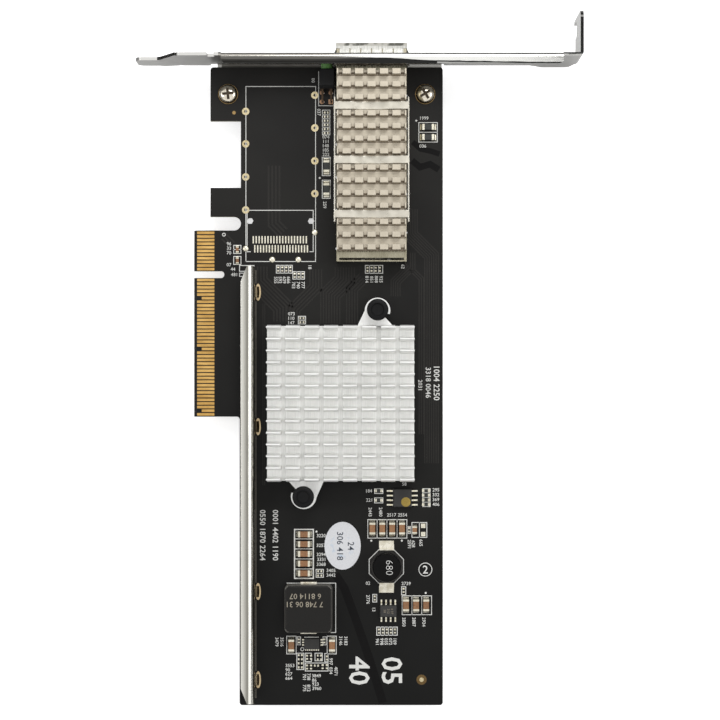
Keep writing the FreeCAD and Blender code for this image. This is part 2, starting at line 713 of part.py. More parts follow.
# ---- port cage, collar and connector ----
def port_cage():
    """Folded sheet cage: open mouth, window for the heatsink, press-fit pins, latch tabs."""
    half = CAGE_WIDTH / 2
    shell = box(PORT_X - half, PORT_X + half, CAGE_REAR_Y, CAGE_FRONT_Y, TOP, CAGE_TOP_Z)
    sheet = CAGE_SHEET
    window = CAGE_WINDOW_WIDTH / 2
    inner_x0 = PORT_X - half + sheet
    inner_x1 = PORT_X + half - sheet
    cuts = [
        box(inner_x0, inner_x1, CAGE_BACK_Y + sheet, CAGE_FRONT_Y, TOP + sheet, CAGE_TOP_Z - sheet),
        box(inner_x0, inner_x1, CAGE_REAR_Y, CAGE_BACK_Y, TOP, CAGE_TOP_Z - sheet),
        box(inner_x0, inner_x1, CAGE_BACK_Y + sheet, CONNECTOR_FRONT_Y + sheet, TOP, TOP + sheet),
        box(PORT_X - window, PORT_X + window, CAGE_WINDOW_REAR_Y, CAGE_WINDOW_FRONT_Y,
            CAGE_TOP_Z - sheet, CAGE_TOP_Z),
        box(PORT_X - CAGE_SLOT_LONG / 2, PORT_X + CAGE_SLOT_LONG / 2, CAGE_BACK_Y - CAGE_SLOT,
            CAGE_BACK_Y, CAGE_TOP_Z - sheet, CAGE_TOP_Z),
    ]
    cage = shell.cut(cuts)
    pieces = [cage]
    for x, y, kind in pin_places(PORT_X):
        z0 = TOP - PIN_DROP
        if kind == "side":
            pieces.append(box(x - sheet / 2, x + sheet / 2, y - PIN_WIDE / 2, y + PIN_WIDE / 2, z0, TOP))
        else:
            pieces.append(box(x - PIN_WIDE / 2, x + PIN_WIDE / 2, y - sheet / 2, y + sheet / 2, z0, TOP))
    for side in (1, -1):
        for y in strap_places():
            edge = PORT_X + side * half
            tab = [
                (edge, TOP + 5.0, 0),
                (edge + side * CAGE_LATCH_REACH, TOP + 6.2, 0),
                (edge + side * (CAGE_LATCH_REACH - 0.2), TOP + 6.4, 0),
                (edge, TOP + 5.6, 0),
            ]
            pieces.append(prism_y(tab, y - 0.9, y + 0.9))
    return fused(pieces)


def spring_arch(rear_y, width, rise):
    """Bowed contact finger: ramp up, crown and ramp down, standing on z = 0 at x = 0."""
    front_y = CAGE_FRONT_Y - COLLAR_BAND
    span = front_y - rear_y
    sheet = COLLAR_SHEET
    inner = [(front_y, 0), (front_y - span * 0.35, rise - sheet), (rear_y + span * 0.35, rise - sheet),
             (rear_y, 0)]
    outer = [(y, z + sheet) for y, z in reversed(inner)]
    return prism_x([(y, z, 0) for y, z in inner + outer], -width / 2, width / 2)


def cage_collar():
    """Band round the cage mouth with a row of grounding fingers on each side."""
    half = CAGE_WIDTH / 2
    sheet = COLLAR_SHEET
    start = CAGE_FRONT_Y - COLLAR_BAND
    outer = box(PORT_X - half - sheet, PORT_X + half + sheet, start, CAGE_FRONT_Y,
                TOP - sheet, CAGE_TOP_Z + sheet)
    inner = box(PORT_X - half, PORT_X + half, start, CAGE_FRONT_Y, TOP, CAGE_TOP_Z)
    pieces = [outer.cut(inner)]
    middle_z = (TOP + CAGE_TOP_Z) / 2
    sides = (
        (0, CAGE_HIGH / 2, TOP_FINGERS, CAGE_WIDTH, COLLAR_REAR_Y),
        (180, CAGE_HIGH / 2, TOP_FINGERS, CAGE_WIDTH, COLLAR_LOW_REAR_Y),
        (90, CAGE_WIDTH / 2, SIDE_FINGERS, CAGE_HIGH, COLLAR_REAR_Y),
        (-90, CAGE_WIDTH / 2, SIDE_FINGERS, CAGE_HIGH, COLLAR_REAR_Y),
    )
    for turn, away, count, span, rear_y in sides:
        pitch = (span - 1.4) / count
        for shift in row(count, pitch):
            blade = spring_arch(rear_y, pitch - COLLAR_SLIT, COLLAR_RISE)
            blade.translate(Vector(shift, 0, away))
            blade.rotate(Vector(0, 0, 0), Vector(0, 1, 0), turn)
            blade.translate(Vector(PORT_X, 0, middle_z))
            pieces.append(blade)
    return fused(pieces)


def port_connector():
    """Moulded receptacle at the back of the cage, with the slot for the module's edge."""
    half = CONNECTOR_WIDTH / 2
    mouth = CONNECTOR_MOUTH_WIDTH / 2
    top_z = TOP + CONNECTOR_HIGH
    side = [
        (CONNECTOR_REAR_Y, TOP, 0),
        (CONNECTOR_FRONT_Y, TOP, 0),
        (CONNECTOR_FRONT_Y, top_z - 0.5, 0.4),
        (CONNECTOR_FRONT_Y - 1.5, top_z, 0.4),
        (CONNECTOR_REAR_Y + 2.5, top_z, 0.4),
        (CONNECTOR_REAR_Y, top_z - 3.0, 0.4),
    ]
    body = prism_x(side, PORT_X - half, PORT_X + half)
    middle = TOP + CONNECTOR_HIGH / 2 + 0.4
    slot = box(PORT_X - mouth, PORT_X + mouth, CONNECTOR_FRONT_Y - CONNECTOR_MOUTH_DEEP,
               CONNECTOR_FRONT_Y, middle - CONNECTOR_MOUTH_HIGH / 2,
               middle + CONNECTOR_MOUTH_HIGH / 2)
    return body.cut(slot)


def port_contacts():
    """Tails of the connector's contacts where they are soldered behind the receptacle."""
    rear = CONNECTOR_REAR_Y
    half = CONTACT_WIDE / 2
    tails = []
    for dx in row(CONTACTS, CONTACT_PITCH):
        x = PORT_X + dx
        tails.append(box(x - half, x + half, rear - CONTACT_TAIL, rear, TOP, TOP + CONTACT_THICK))
    return group(tails)


# ---- heatsink on the cage and its clip ----
def pin_rows():
    """Middle of each row of pins along Y, from the bracket end."""
    places = []
    y = RIDER_FRONT_Y - RIDER_PIN_LONG / 2
    for size in RIDER_ROW_COUNTS:
        for _ in range(size):
            places.append(y)
            y -= RIDER_PIN_PITCH
        y += RIDER_PIN_PITCH - RIDER_STRAP_PITCH
    return places


def strap_places():
    """Middle of each wider gap between groups of rows, where a strap crosses."""
    rows = pin_rows()
    places = []
    last = 0
    for size in RIDER_ROW_COUNTS[:-1]:
        last += size
        places.append((rows[last - 1] + rows[last]) / 2)
    return places


def port_heatsink():
    """Cross-cut pin block whose pad reaches the module through the cage window."""
    rows = pin_rows()
    half = RIDER_WIDTH / 2
    rear_y = rows[-1] - RIDER_PIN_LONG / 2
    block = box(PORT_X - half, PORT_X + half, rear_y, RIDER_FRONT_Y, CAGE_TOP_Z, RIDER_TOP_Z)
    cuts = []
    for dx in row(RIDER_SLOTS, RIDER_SLOT_PITCH):
        x = PORT_X + dx
        cuts.append(box(x - RIDER_SLOT / 2, x + RIDER_SLOT / 2, rear_y, RIDER_FRONT_Y,
                        RIDER_FLOOR_Z, RIDER_TOP_Z))
    for near, far in zip(rows[:-1], rows[1:]):
        cuts.append(box(PORT_X - half, PORT_X + half, far + RIDER_PIN_LONG / 2,
                        near - RIDER_PIN_LONG / 2, RIDER_FLOOR_Z, RIDER_TOP_Z))
    window = CAGE_WINDOW_WIDTH / 2 - RIDER_PAD_GAP
    pad = drafted(PORT_X, (CAGE_WINDOW_REAR_Y + CAGE_WINDOW_FRONT_Y) / 2, 2 * window,
                  CAGE_WINDOW_FRONT_Y - CAGE_WINDOW_REAR_Y - 2 * RIDER_PAD_GAP,
                  CAGE_TOP_Z, CAGE_TOP_Z - CAGE_SHEET - RIDER_PAD, 0.6)
    return fused([block.cut(cuts), pad])


def clip_strap(y):
    """Bowed strap: high at the rails, low on the heatsink floor in the middle."""
    rail = CAGE_WIDTH / 2 + CLIP_GAP
    low = RIDER_FLOOR_Z
    high = low + CLIP_RISE
    sheet = CLIP_SHEET
    lower = [(-rail, high, 0), (-CLIP_RAMP_HALF, high, 0), (-CLIP_LOW_HALF, low, 0),
             (CLIP_LOW_HALF, low, 0), (CLIP_RAMP_HALF, high, 0), (rail, high, 0)]
    upper = [(x, z + sheet, radius) for x, z, radius in reversed(lower)]
    corners = [(PORT_X + x, z, radius) for x, z, radius in lower + upper]
    return prism_y(corners, y - CLIP_STRAP / 2, y + CLIP_STRAP / 2)


def heatsink_clip():
    """Clip stamped from one sheet: two side rails joined by the straps."""
    straps = strap_places()
    rail = CAGE_WIDTH / 2 + CLIP_GAP
    top_z = RIDER_FLOOR_Z + CLIP_RISE + CLIP_SHEET
    rear_y = straps[-1] - CLIP_OVERRUN
    front_y = straps[0] + CLIP_OVERRUN
    low_z = top_z - CLIP_RAIL_HIGH
    arm_z = top_z - CLIP_ARM
    pieces = [clip_strap(y) for y in straps]
    corners = [(front_y, top_z, 0), (rear_y, top_z, 0), (rear_y, low_z, 0)]
    for y in reversed(straps):
        behind = y - CLIP_OVERRUN
        before = y + CLIP_OVERRUN
        if y is not straps[-1]:
            corners += [(behind, arm_z, 0), (behind, low_z, 0)]
        corners.append((before, low_z, 0))
        if y is not straps[0]:
            corners.append((before, arm_z, 0))
    for side in (1, -1):
        face_x = PORT_X + side * rail
        near = min(face_x, face_x + side * CLIP_SHEET)
        plate = prism_x(corners, near, near + CLIP_SHEET)
        eyes = []
        for y in straps:
            eyes.append(box(near, near + CLIP_SHEET, y - CLIP_NOTCH / 2, y + CLIP_NOTCH / 2,
                            TOP + 5.2, TOP + 6.9))
        pieces.append(plate.cut(eyes))
    return fused(pieces)


# ---- status light ----
def led_housing():
    """Black right-angle holder behind the bracket."""
    half = LED_WIDTH / 2
    side = [
        (LED_REAR_Y, TOP, 0),
        (LED_FRONT_Y, TOP, 0),
        (LED_FRONT_Y, TOP + LED_HIGH, 0.3),
        (LED_REAR_Y + 0.9, TOP + LED_HIGH, 0.3),
        (LED_REAR_Y, TOP + LED_HIGH - 0.9, 0.3),
    ]
    return prism_x(side, LED_X - half, LED_X + half)


def led_lens():
    """Green lens with a domed end that reaches through the bracket."""
    radius = LED_LENS / 2
    end_y = BRACKET_FACE_Y - radius * 0.4
    start = Vector(LED_X, LED_FRONT_Y, TOP + LED_LENS_UP)
    lens = turned([(0, 0), (radius, 0), (radius, end_y - LED_FRONT_Y),
                   (radius * 0.6, end_y - LED_FRONT_Y + radius),
                   (0, end_y - LED_FRONT_Y + radius)], 0, 0)
    lens.rotate(Vector(0, 0, 0), Vector(1, 0, 0), -90)
    lens.translate(start)
    return lens


def led_leads():
    """Four square wires, bent down from the back of the holder through the board."""
    wires = []
    size = LED_LEAD
    for dx in row(2, LED_LEAD_PITCH):
        for y, up in zip(LED_LEAD_Y, LED_LEAD_UP):
            corners = [
                (LED_REAR_Y, TOP + up, 0),
                (LED_REAR_Y, TOP + up + size, 0),
                (y - size / 2, TOP + up + size, 0),
                (y - size / 2, TOP - LED_LEAD_DROP, 0),
                (y + size / 2, TOP - LED_LEAD_DROP, 0),
                (y + size / 2, TOP + up, 0),
            ]
            x = LED_X + dx
            wires.append(prism_x(corners, x - size / 2, x + size / 2))
    return group(wires)


# ---- controller chip and main heatsink ----
def controller_chip():
    """Chip package: square carrier with a smaller raised lid."""
    half = CHIP_SIDE / 2
    lid = CHIP_LID_SIDE / 2
    lid_z = TOP + CHIP_SUBSTRATE
    carrier = box(CHIP_X - half, CHIP_X + half, CHIP_Y - half, CHIP_Y + half, TOP, lid_z)
    cap = box(CHIP_X - lid, CHIP_X + lid, CHIP_Y - lid, CHIP_Y + lid, lid_z, lid_z + CHIP_LID)
    return fused([carrier, cap])


def thermal_pad():
    """Soft pad squeezed between the chip's lid and the heatsink."""
    half = THERMAL_PAD_SIDE / 2
    z = TOP + CHIP_SUBSTRATE + CHIP_LID
    return box(CHIP_X - half, CHIP_X + half, CHIP_Y - half, CHIP_Y + half, z, z + THERMAL_PAD)


def sink_ear(side):
    """Ear on a flared neck, at one long corner of the base."""
    x = CHIP_X + side * EAR_OFF_X
    y = CHIP_Y + side * EAR_OFF_Y
    edge = CHIP_Y + side * SINK_Y_SIZE / 2
    neck = [
        (x - EAR_NECK_HALF, edge, 0),
        (x + EAR_NECK_HALF, edge, 0),
        (x + EAR_RADIUS, edge + side * 1.6, 1.2),
        (x + EAR_RADIUS, y, 0),
        (x - EAR_RADIUS, y, 0),
        (x - EAR_RADIUS, edge + side * 1.6, 1.2),
    ]
    return [prism(neck, SINK_BASE_Z, SINK_EAR_Z), rod(x, y, SINK_BASE_Z, SINK_EAR_Z, 2 * EAR_RADIUS)]


def main_heatsink():
    """Extruded fins, cross-cut into columns, on a base with two ears."""
    half_x = SINK_X_SIZE / 2
    half_y = SINK_Y_SIZE / 2
    block = box(CHIP_X - half_x, CHIP_X + half_x, CHIP_Y - half_y, CHIP_Y + half_y,
                SINK_BASE_Z, SINK_TOP_Z)
    pitch_y = (SINK_Y_SIZE - SINK_FIN_THICK) / (SINK_FINS - 1)
    gap = pitch_y - SINK_FIN_THICK
    pitch_x = (SINK_X_SIZE + SINK_CHANNEL) / SINK_COLUMNS
    cuts = []
    for dy in row(SINK_FINS - 1, pitch_y):
        y = CHIP_Y + dy
        cuts.append(box(CHIP_X - half_x, CHIP_X + half_x, y - gap / 2, y + gap / 2,
                        SINK_EAR_Z, SINK_TOP_Z))
    for dx in row(SINK_COLUMNS - 1, pitch_x):
        x = CHIP_X + dx
        cuts.append(box(x - SINK_CHANNEL / 2, x + SINK_CHANNEL / 2, CHIP_Y - half_y,
                        CHIP_Y + half_y, SINK_EAR_Z, SINK_TOP_Z))
    whole = fused([block.cut(cuts)] + sink_ear(1) + sink_ear(-1))
    hole = PUSH_SHANK + 2 * PUSH_HOLE_GAP
    return whole.cut([small_hole(x, y, SINK_BASE_Z, SINK_EAR_Z, hole) for x, y in PUSH_POINTS])


def push_pins():
    """Black pins with a broad head and a square barb that catches under the board."""
    pins = []
    head = PUSH_HEAD / 2
    shank = PUSH_SHANK / 2
    catch_z = BOTTOM - 0.1
    tip_z = catch_z - PUSH_BARB_LONG
    top_z = PUSH_HEAD_Z + PUSH_HEAD_HIGH
    profile = [(0, catch_z), (shank, catch_z), (shank, PUSH_HEAD_Z), (head, PUSH_HEAD_Z), (head, top_z), (0, top_z)]
    for x, y in PUSH_POINTS:
        barb = drafted(x, y, PUSH_BARB, PUSH_BARB, catch_z, tip_z, PUSH_BARB_DRAFT)
        pins.append(fused([turned(profile, x, y), barb]))
    return group(pins)


def spring_ring(radius, half, angle, height):
    """Four corners of the square wire where it crosses one radial plane."""
    corners = ((-1, -1), (1, -1), (1, 1), (-1, 1))
    return [Vector((radius + dr * half) * math.cos(angle), (radius + dr * half) * math.sin(angle),
                   height + dz * half) for dr, dz in corners]


def spring_coil():
    """One coil of square wire along a faceted helix, standing on z = 0."""
    half = SPRING_WIRE / 2
    radius = PUSH_SHANK / 2 + SPRING_GAP + half
    rise = SPRING_LONG - SPRING_WIRE
    count = SPRING_TURNS * SPRING_STEPS
    rings = [spring_ring(radius, half, 2 * math.pi * index / SPRING_STEPS, half + rise * index / count)
             for index in range(count + 1)]
    loops = [rings[0], rings[-1]]
    for before, after in zip(rings, rings[1:]):
        for a, b in ((1, 2), (3, 0)):
            loops.append([before[a], before[b], after[b], after[a]])
        for a, b in ((0, 1), (2, 3)):
            loops.append([before[a], before[b], after[b]])
            loops.append([before[a], after[b], after[a]])
    faces = [Part.Face(Part.makePolygon(loop + loop[:1])) for loop in loops]
    return Part.makeSolid(Part.makeShell(faces))


def push_pin_springs():
    """Coil springs between each ear and the head of its pin."""
    coil = spring_coil()
    if coil.Volume < 0:
        coil.reverse()
    springs = []
    for x, y in PUSH_POINTS:
        spring = coil.copy()
        spring.translate(Vector(x, y, SINK_EAR_Z))
        springs.append(spring)
    return group(springs)


# ---- stiffener rail ----
def stiffener_rail():
    """Folded rail along the near edge: flange on top, web with four soldered tabs."""
    high_z = TOP + RAIL_HIGH
    low_z = TOP + RAIL_LIFT
    web_x = RAIL_FACE_X - RAIL_THICK
    flange_x = RAIL_FACE_X - RAIL_WIDTH
    section = [
        (RAIL_FACE_X, low_z, 0),
        (RAIL_FACE_X, high_z, RAIL_BEND),
        (flange_x, high_z, 0),
        (flange_x, high_z - RAIL_THICK, 0),
        (web_x, high_z - RAIL_THICK, RAIL_BEND - RAIL_THICK),
        (web_x, low_z, 0),
    ]
    rail = prism_y(section, RAIL_REAR_Y, RAIL_FRONT_Y)
    bend_x = RAIL_FACE_X - RAIL_BEND
    for end, side in ((RAIL_FRONT_Y, 1), (RAIL_REAR_Y, -1)):
        wedge = [(flange_x, end, 0), (flange_x, end - side * RAIL_TAPER, 0), (bend_x, end, 0)]
        rail = rail.cut(prism(wedge, high_z - RAIL_THICK - 0.01, high_z + 0.01))
        corner = [(end, low_z, 0), (end, low_z + 3.0, 0), (end - side * 2.2, low_z, 0)]
        rail = rail.cut(prism_x(corner, web_x - 0.01, RAIL_FACE_X + 0.01))
    pieces = [rail]
    tab_far = RAIL_TAB_X + RAIL_TAB_THICK / 2
    tab_near = RAIL_TAB_X - RAIL_TAB_THICK / 2
    for y in RAIL_TAB_Y:
        foot = [
            (web_x, low_z + 0.8, 0),
            (RAIL_FACE_X, low_z + 0.8, 0),
            (tab_far, low_z, 0),
            (tab_far, TOP - RAIL_TAB_DROP, 0),
            (tab_near, TOP - RAIL_TAB_DROP, 0),
            (tab_near, low_z - 0.2, 0),
            (web_x, low_z, 0),
        ]
        pieces.append(prism_y(foot, y - RAIL_TAB_LONG / 2, y + RAIL_TAB_LONG / 2))
    return fused(pieces)


# ---- power parts ----
def square_corners(x, y, half, radius):
    """Corners of a rounded square."""
    return [(x + dx * half, y + dy * half, radius) for dx, dy in ((-1, -1), (1, -1), (1, 1), (-1, 1))]


def power_choke():
    """Square power inductor: pressed ferrite block with softened top edges."""
    half = CHOKE_SIDE / 2
    z0 = TOP + CHOKE_LIFT
    body = prism(square_corners(CHOKE_X, CHOKE_Y, half, CHOKE_CORNER), z0, TOP + CHOKE_HIGH)
    top_edges = [edge for edge in body.Edges if edge.BoundBox.ZMin > TOP + CHOKE_HIGH - 0.01]
    return body.makeChamfer(0.35, top_edges)


def choke_terminals():
    """Flat copper ends folded down and under the inductor."""
    ends = []
    half = CHOKE_SIDE / 2
    low = TOP
    for side in (1, -1):
        edge = CHOKE_Y + side * half
        out = edge + side * STRAP_SHEET * 3
        section = [
            (edge, low + CHOKE_HIGH * 0.45, 0),
            (out, low + CHOKE_HIGH * 0.45, 0.2),
            (out, low, 0),
            (edge - side * 2.4, low, 0),
            (edge - side * 2.4, low + CHOKE_LIFT, 0),
            (edge, low + CHOKE_LIFT, 0),
        ]
        ends.append(prism_x(section, CHOKE_X - CHOKE_STRAP / 2, CHOKE_X + CHOKE_STRAP / 2))
    return group(ends)


def drum_post():
    """Square post between the two discs of the round inductor."""
    half = DRUM_POST / 2
    z = TOP + DRUM_BASE
    return box(DRUM_X - half, DRUM_X + half, DRUM_Y - half, DRUM_Y + half,
               z + DRUM_FLANGE, z + DRUM_HIGH - DRUM_FLANGE)


def drum_core():
    """Ferrite bobbin of the round inductor: two discs on a square post."""
    z0 = TOP + DRUM_BASE
    z1 = z0 + DRUM_HIGH
    low = rod(DRUM_X, DRUM_Y, z0, z0 + DRUM_FLANGE, 2 * DRUM_RADIUS - 0.6)
    high = rod(DRUM_X, DRUM_Y, z1 - DRUM_FLANGE, z1, 2 * DRUM_RADIUS)
    return fused([low, drum_post(), high])


def drum_winding():
    """Copper turns between the discs, as one ring round the post."""
    z0 = TOP + DRUM_BASE + DRUM_FLANGE
    z1 = TOP + DRUM_BASE + DRUM_HIGH - DRUM_FLANGE
    return rod(DRUM_X, DRUM_Y, z0, z1, 2 * DRUM_RADIUS - DRUM_INSET).cut(drum_post())


def drum_base():
    """Eight-sided moulded base under the round inductor."""
    half = DRUM_BASE_HALF
    cut = half * (2 - math.sqrt(2)) * 1.05
    corners = []
    for sx, sy in ((1, 1), (-1, 1), (-1, -1), (1, -1)):
        pair = [(DRUM_X + sx * half, DRUM_Y + sy * (half - cut), 0),
                (DRUM_X + sx * (half - cut), DRUM_Y + sy * half, 0)]
        corners += pair if sx == sy else pair[::-1]
    return prism(corners, TOP, TOP + DRUM_BASE)


def drum_terminals():
    """Flat ends of the winding, folded down at the front and rear of the base."""
    ends = []
    half = DRUM_STRAP / 2
    for side in (1, -1):
        edge = DRUM_Y + side * DRUM_BASE_HALF
        out = edge + side * DRUM_STRAP_OUT
        section = [
            (edge, TOP, 0),
            (out, TOP, 0),
            (out, TOP + STRAP_SHEET * 2, 0),
            (edge + side * 0.4, TOP + STRAP_SHEET * 2, 0),
            (edge + side * 0.4, TOP + DRUM_BASE, 0),
            (edge, TOP + DRUM_BASE, 0),
        ]
        ends.append(prism_x(section, DRUM_X - half, DRUM_X + half))
    return group(ends)


# ---- small chips ----
def moulded_package(x, y, size_x, size_y):
    """Chip body with drafted sides above and below its parting line."""
    low = TOP + SMALL_CHIP_LIFT
    high = TOP + SMALL_CHIP_HIGH
    parting = (low + high) / 2
    inset = 0.16
    upper = drafted(x, y, size_x, size_y, parting, high, inset)
    lower = drafted(x, y, size_x, size_y, parting, low, inset)
    return fused([upper, lower])


def gull_leads(x, y, size, span, turn):
    """Two rows of four gull-wing leads; size and span are across the rows."""
    leads = []
    exit_z = (2 * TOP + SMALL_CHIP_LIFT + SMALL_CHIP_HIGH) / 2
    thick = LEAD_THICK
    inner = size / 2
    outer = span / 2
    knee = inner + (outer - LEAD_FOOT - inner) * 0.5
    heel = outer - LEAD_FOOT
    for side in (1, -1):
        profile = [
            (side * inner, exit_z - thick / 2, 0),
            (side * inner, exit_z + thick / 2, 0),
            (side * (knee + thick * 0.4), exit_z + thick / 2, 0),
            (side * (heel + thick * 0.6), TOP + thick, 0),
            (side * outer, TOP + thick, 0),
            (side * outer, TOP, 0),
            (side * heel, TOP, 0),
            (side * (knee - thick * 0.2), exit_z - thick / 2, 0),
        ]
        for shift in row(4, LEAD_PITCH):
            lead = prism_y(profile, shift - LEAD_WIDE / 2, shift + LEAD_WIDE / 2)
            lead.rotate(Vector(0, 0, 0), Vector(0, 0, 1), turn)
            lead.translate(Vector(x, y, 0))
            leads.append(lead)
    return group(leads)


def flash_chip():
    return moulded_package(FLASH_AT[0], FLASH_AT[1], FLASH_BODY, FLASH_BODY)


def flash_leads():
    return gull_leads(FLASH_AT[0], FLASH_AT[1], FLASH_BODY, FLASH_SPAN, 0)


def regulator_chip():
    return moulded_package(REGULATOR_AT[0], REGULATOR_AT[1], REGULATOR_BODY[0], REGULATOR_BODY[1])


def regulator_leads():
    return gull_leads(REGULATOR_AT[0], REGULATOR_AT[1], REGULATOR_BODY[1], REGULATOR_SPAN, 90)


def driver_chip():
    """Flat leadless power driver beside the inductor."""
    half_x = DRIVER_SIZE[0] / 2
    half_y = DRIVER_SIZE[1] / 2
    x, y = DRIVER_AT
    return box(x - half_x, x + half_x, y - half_y, y + half_y, TOP, TOP + DRIVER_HIGH)


# ---- chip capacitors and resistors ----
def chip_part(size, x, y, along):
    """Body and the two end caps of one chip part; along is X or Y."""
    long, wide, high, end = size
    half = long / 2
    side = wide / 2
    wrap = END_CAP_WRAP
    body = box(-half + end, half - end, -side + wrap, side - wrap, TOP + wrap, TOP + high - wrap)
    caps = [box(-half, -half + end, -side, side, TOP, TOP + high),
            box(half - end, half, -side, side, TOP, TOP + high)]
    for piece in [body] + caps:
        if along == "Y":
            piece.rotate(Vector(0, 0, 0), Vector(0, 0, 1), 90)
        piece.translate(Vector(x, y, 0))
    return body, caps


def line_up(size, x, y, along, count, step_x, step_y):
    """Places of count equal chip parts, starting at (x, y)."""
    return [(size, x + index * step_x, y + index * step_y, along) for index in range(count)]


CAPACITOR_PLACES = (
    line_up(SIZE_1206, 49.1, -69.9, "Y", 4, 2.72, 0)
    + line_up(SIZE_1206, 58.35, -91.0, "Y", 3, 2.77, 0)
    + line_up(SIZE_1206, 30.3, -71.5, "X", 5, 0, -2.68)
    + line_up(SIZE_1206, 26.8, -102.05, "Y", 2, 11.2, 0)
    + line_up(SIZE_0805, 60.75, -70.3, "Y", 1, 0, 0)
    + line_up(SIZE_0603, 11.9, 6.9, "Y", 1, 0, 0)
    + line_up(SIZE_0603, 11.9, 3.85, "Y", 1, 0, 0)
)

RESISTOR_PLACES = (
    line_up(SIZE_1206_LOW, 64.45, 40.6, "X", 2, 0, -2.8)
    + line_up(SIZE_1206_LOW, 36.45, 29.8, "Y", 2, 0, -6.3)
    + line_up(SIZE_0603, 50.8, -59.55, "X", 2, 0, -2.6)
    + line_up(SIZE_0603, 63.9, -59.5, "X", 4, 0, -1.28)
)


def bodies(places):
    return group([chip_part(*place)[0] for place in places])


def end_caps(places):
    return group([cap for place in places for cap in chip_part(*place)[1]])


def inspection_label():
    """Oval paper label stuck on the board."""
    angles = [2 * math.pi * index / LABEL_SIDES for index in range(LABEL_SIDES)]
    corners = [(LABEL_AT[0] + LABEL_HALF_X * math.cos(a), LABEL_AT[1] + LABEL_HALF_Y * math.sin(a), 0)
               for a in angles]
    return prism(corners, TOP, TOP + LABEL_THICK)


NODES = {
    "circuit_board": circuit_board,
    "edge_fingers": edge_fingers,
    "bracket": bracket,
    "bracket_screws": bracket_screws,
    "port_cage": port_cage,
    "cage_collar": cage_collar,
    "port_connector": port_connector,
    "port_contacts": port_contacts,
    "port_heatsink": port_heatsink,
    "heatsink_clip": heatsink_clip,
    "led_housing": led_housing,
    "led_lens": led_lens,
    "led_leads": led_leads,
    "controller_chip": controller_chip,
    "thermal_pad": thermal_pad,
    "main_heatsink": main_heatsink,
    "push_pins": push_pins,
    "push_pin_springs": push_pin_springs,
    "stiffener_rail": stiffener_rail,
    "power_choke": power_choke,
    "choke_terminals": choke_terminals,
    "drum_core": drum_core,
    "drum_winding": drum_winding,
    "drum_base": drum_base,
    "drum_terminals": drum_terminals,
    "flash_chip": flash_chip,
    "flash_leads": flash_leads,
    "regulator_chip": regulator_chip,
    "regulator_leads": regulator_leads,
    "driver_chip": driver_chip,
    "capacitors": lambda: bodies(CAPACITOR_PLACES),
    "capacitor_ends": lambda: end_caps(CAPACITOR_PLACES),
    "resistors": lambda: bodies(RESISTOR_PLACES),
    "resistor_ends": lambda: end_caps(RESISTOR_PLACES),
    "inspection_label": inspection_label,
}


def write_parts():
    """Build every node and write its STEP file."""
    os.makedirs("parts", exist_ok=True)
    for name, build in NODES.items():
        shape = build()
        print(name, len(shape.Solids), shape.isValid(), round(shape.Volume, 2))
        shape.exportStep("parts/" + name + ".step")


write_parts()
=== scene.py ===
"""Dressed model of a network interface card: finishes, print, solder, copper and stage."""
import math

import bmesh
import bpy
from mathutils import Matrix, Vector

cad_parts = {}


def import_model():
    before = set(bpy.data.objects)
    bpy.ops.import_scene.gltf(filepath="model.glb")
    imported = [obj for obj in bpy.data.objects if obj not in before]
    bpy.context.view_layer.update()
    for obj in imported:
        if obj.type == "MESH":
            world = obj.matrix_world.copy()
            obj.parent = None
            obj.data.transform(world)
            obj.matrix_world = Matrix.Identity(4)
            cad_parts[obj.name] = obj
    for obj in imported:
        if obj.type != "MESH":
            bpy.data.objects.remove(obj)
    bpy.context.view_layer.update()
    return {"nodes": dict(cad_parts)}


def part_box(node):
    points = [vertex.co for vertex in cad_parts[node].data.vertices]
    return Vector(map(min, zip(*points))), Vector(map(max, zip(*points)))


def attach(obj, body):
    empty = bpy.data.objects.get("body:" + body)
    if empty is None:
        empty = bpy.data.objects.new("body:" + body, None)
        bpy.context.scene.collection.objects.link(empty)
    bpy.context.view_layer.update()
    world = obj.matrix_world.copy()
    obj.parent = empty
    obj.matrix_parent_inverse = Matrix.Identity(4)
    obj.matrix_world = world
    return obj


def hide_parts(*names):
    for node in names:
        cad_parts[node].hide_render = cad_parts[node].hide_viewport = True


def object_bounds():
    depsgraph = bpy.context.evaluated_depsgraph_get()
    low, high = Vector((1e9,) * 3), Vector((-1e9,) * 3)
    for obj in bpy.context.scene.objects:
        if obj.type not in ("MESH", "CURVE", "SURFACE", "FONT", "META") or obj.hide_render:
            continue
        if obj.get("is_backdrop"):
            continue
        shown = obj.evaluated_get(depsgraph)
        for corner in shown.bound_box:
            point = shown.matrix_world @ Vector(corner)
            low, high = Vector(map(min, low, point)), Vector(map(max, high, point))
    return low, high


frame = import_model()

# lengths and places are in millimetres, and MM turns them into metres
MM = 0.001
scene = bpy.context.scene
BOARD_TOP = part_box("circuit_board")[1].z / MM
BOARD_BOTTOM = -BOARD_TOP
PRINT_THICK = 0.02
PLATE_THICK = 0.035


# ---- finishes ----
def linear(red, green, blue):
    """Surface colour from display values of 0 to 255."""
    values = []
    for value in (red / 255, green / 255, blue / 255):
        values.append(value / 12.92 if value <= 0.04045 else ((value + 0.055) / 1.055) ** 2.4)
    return (*values, 1.0)


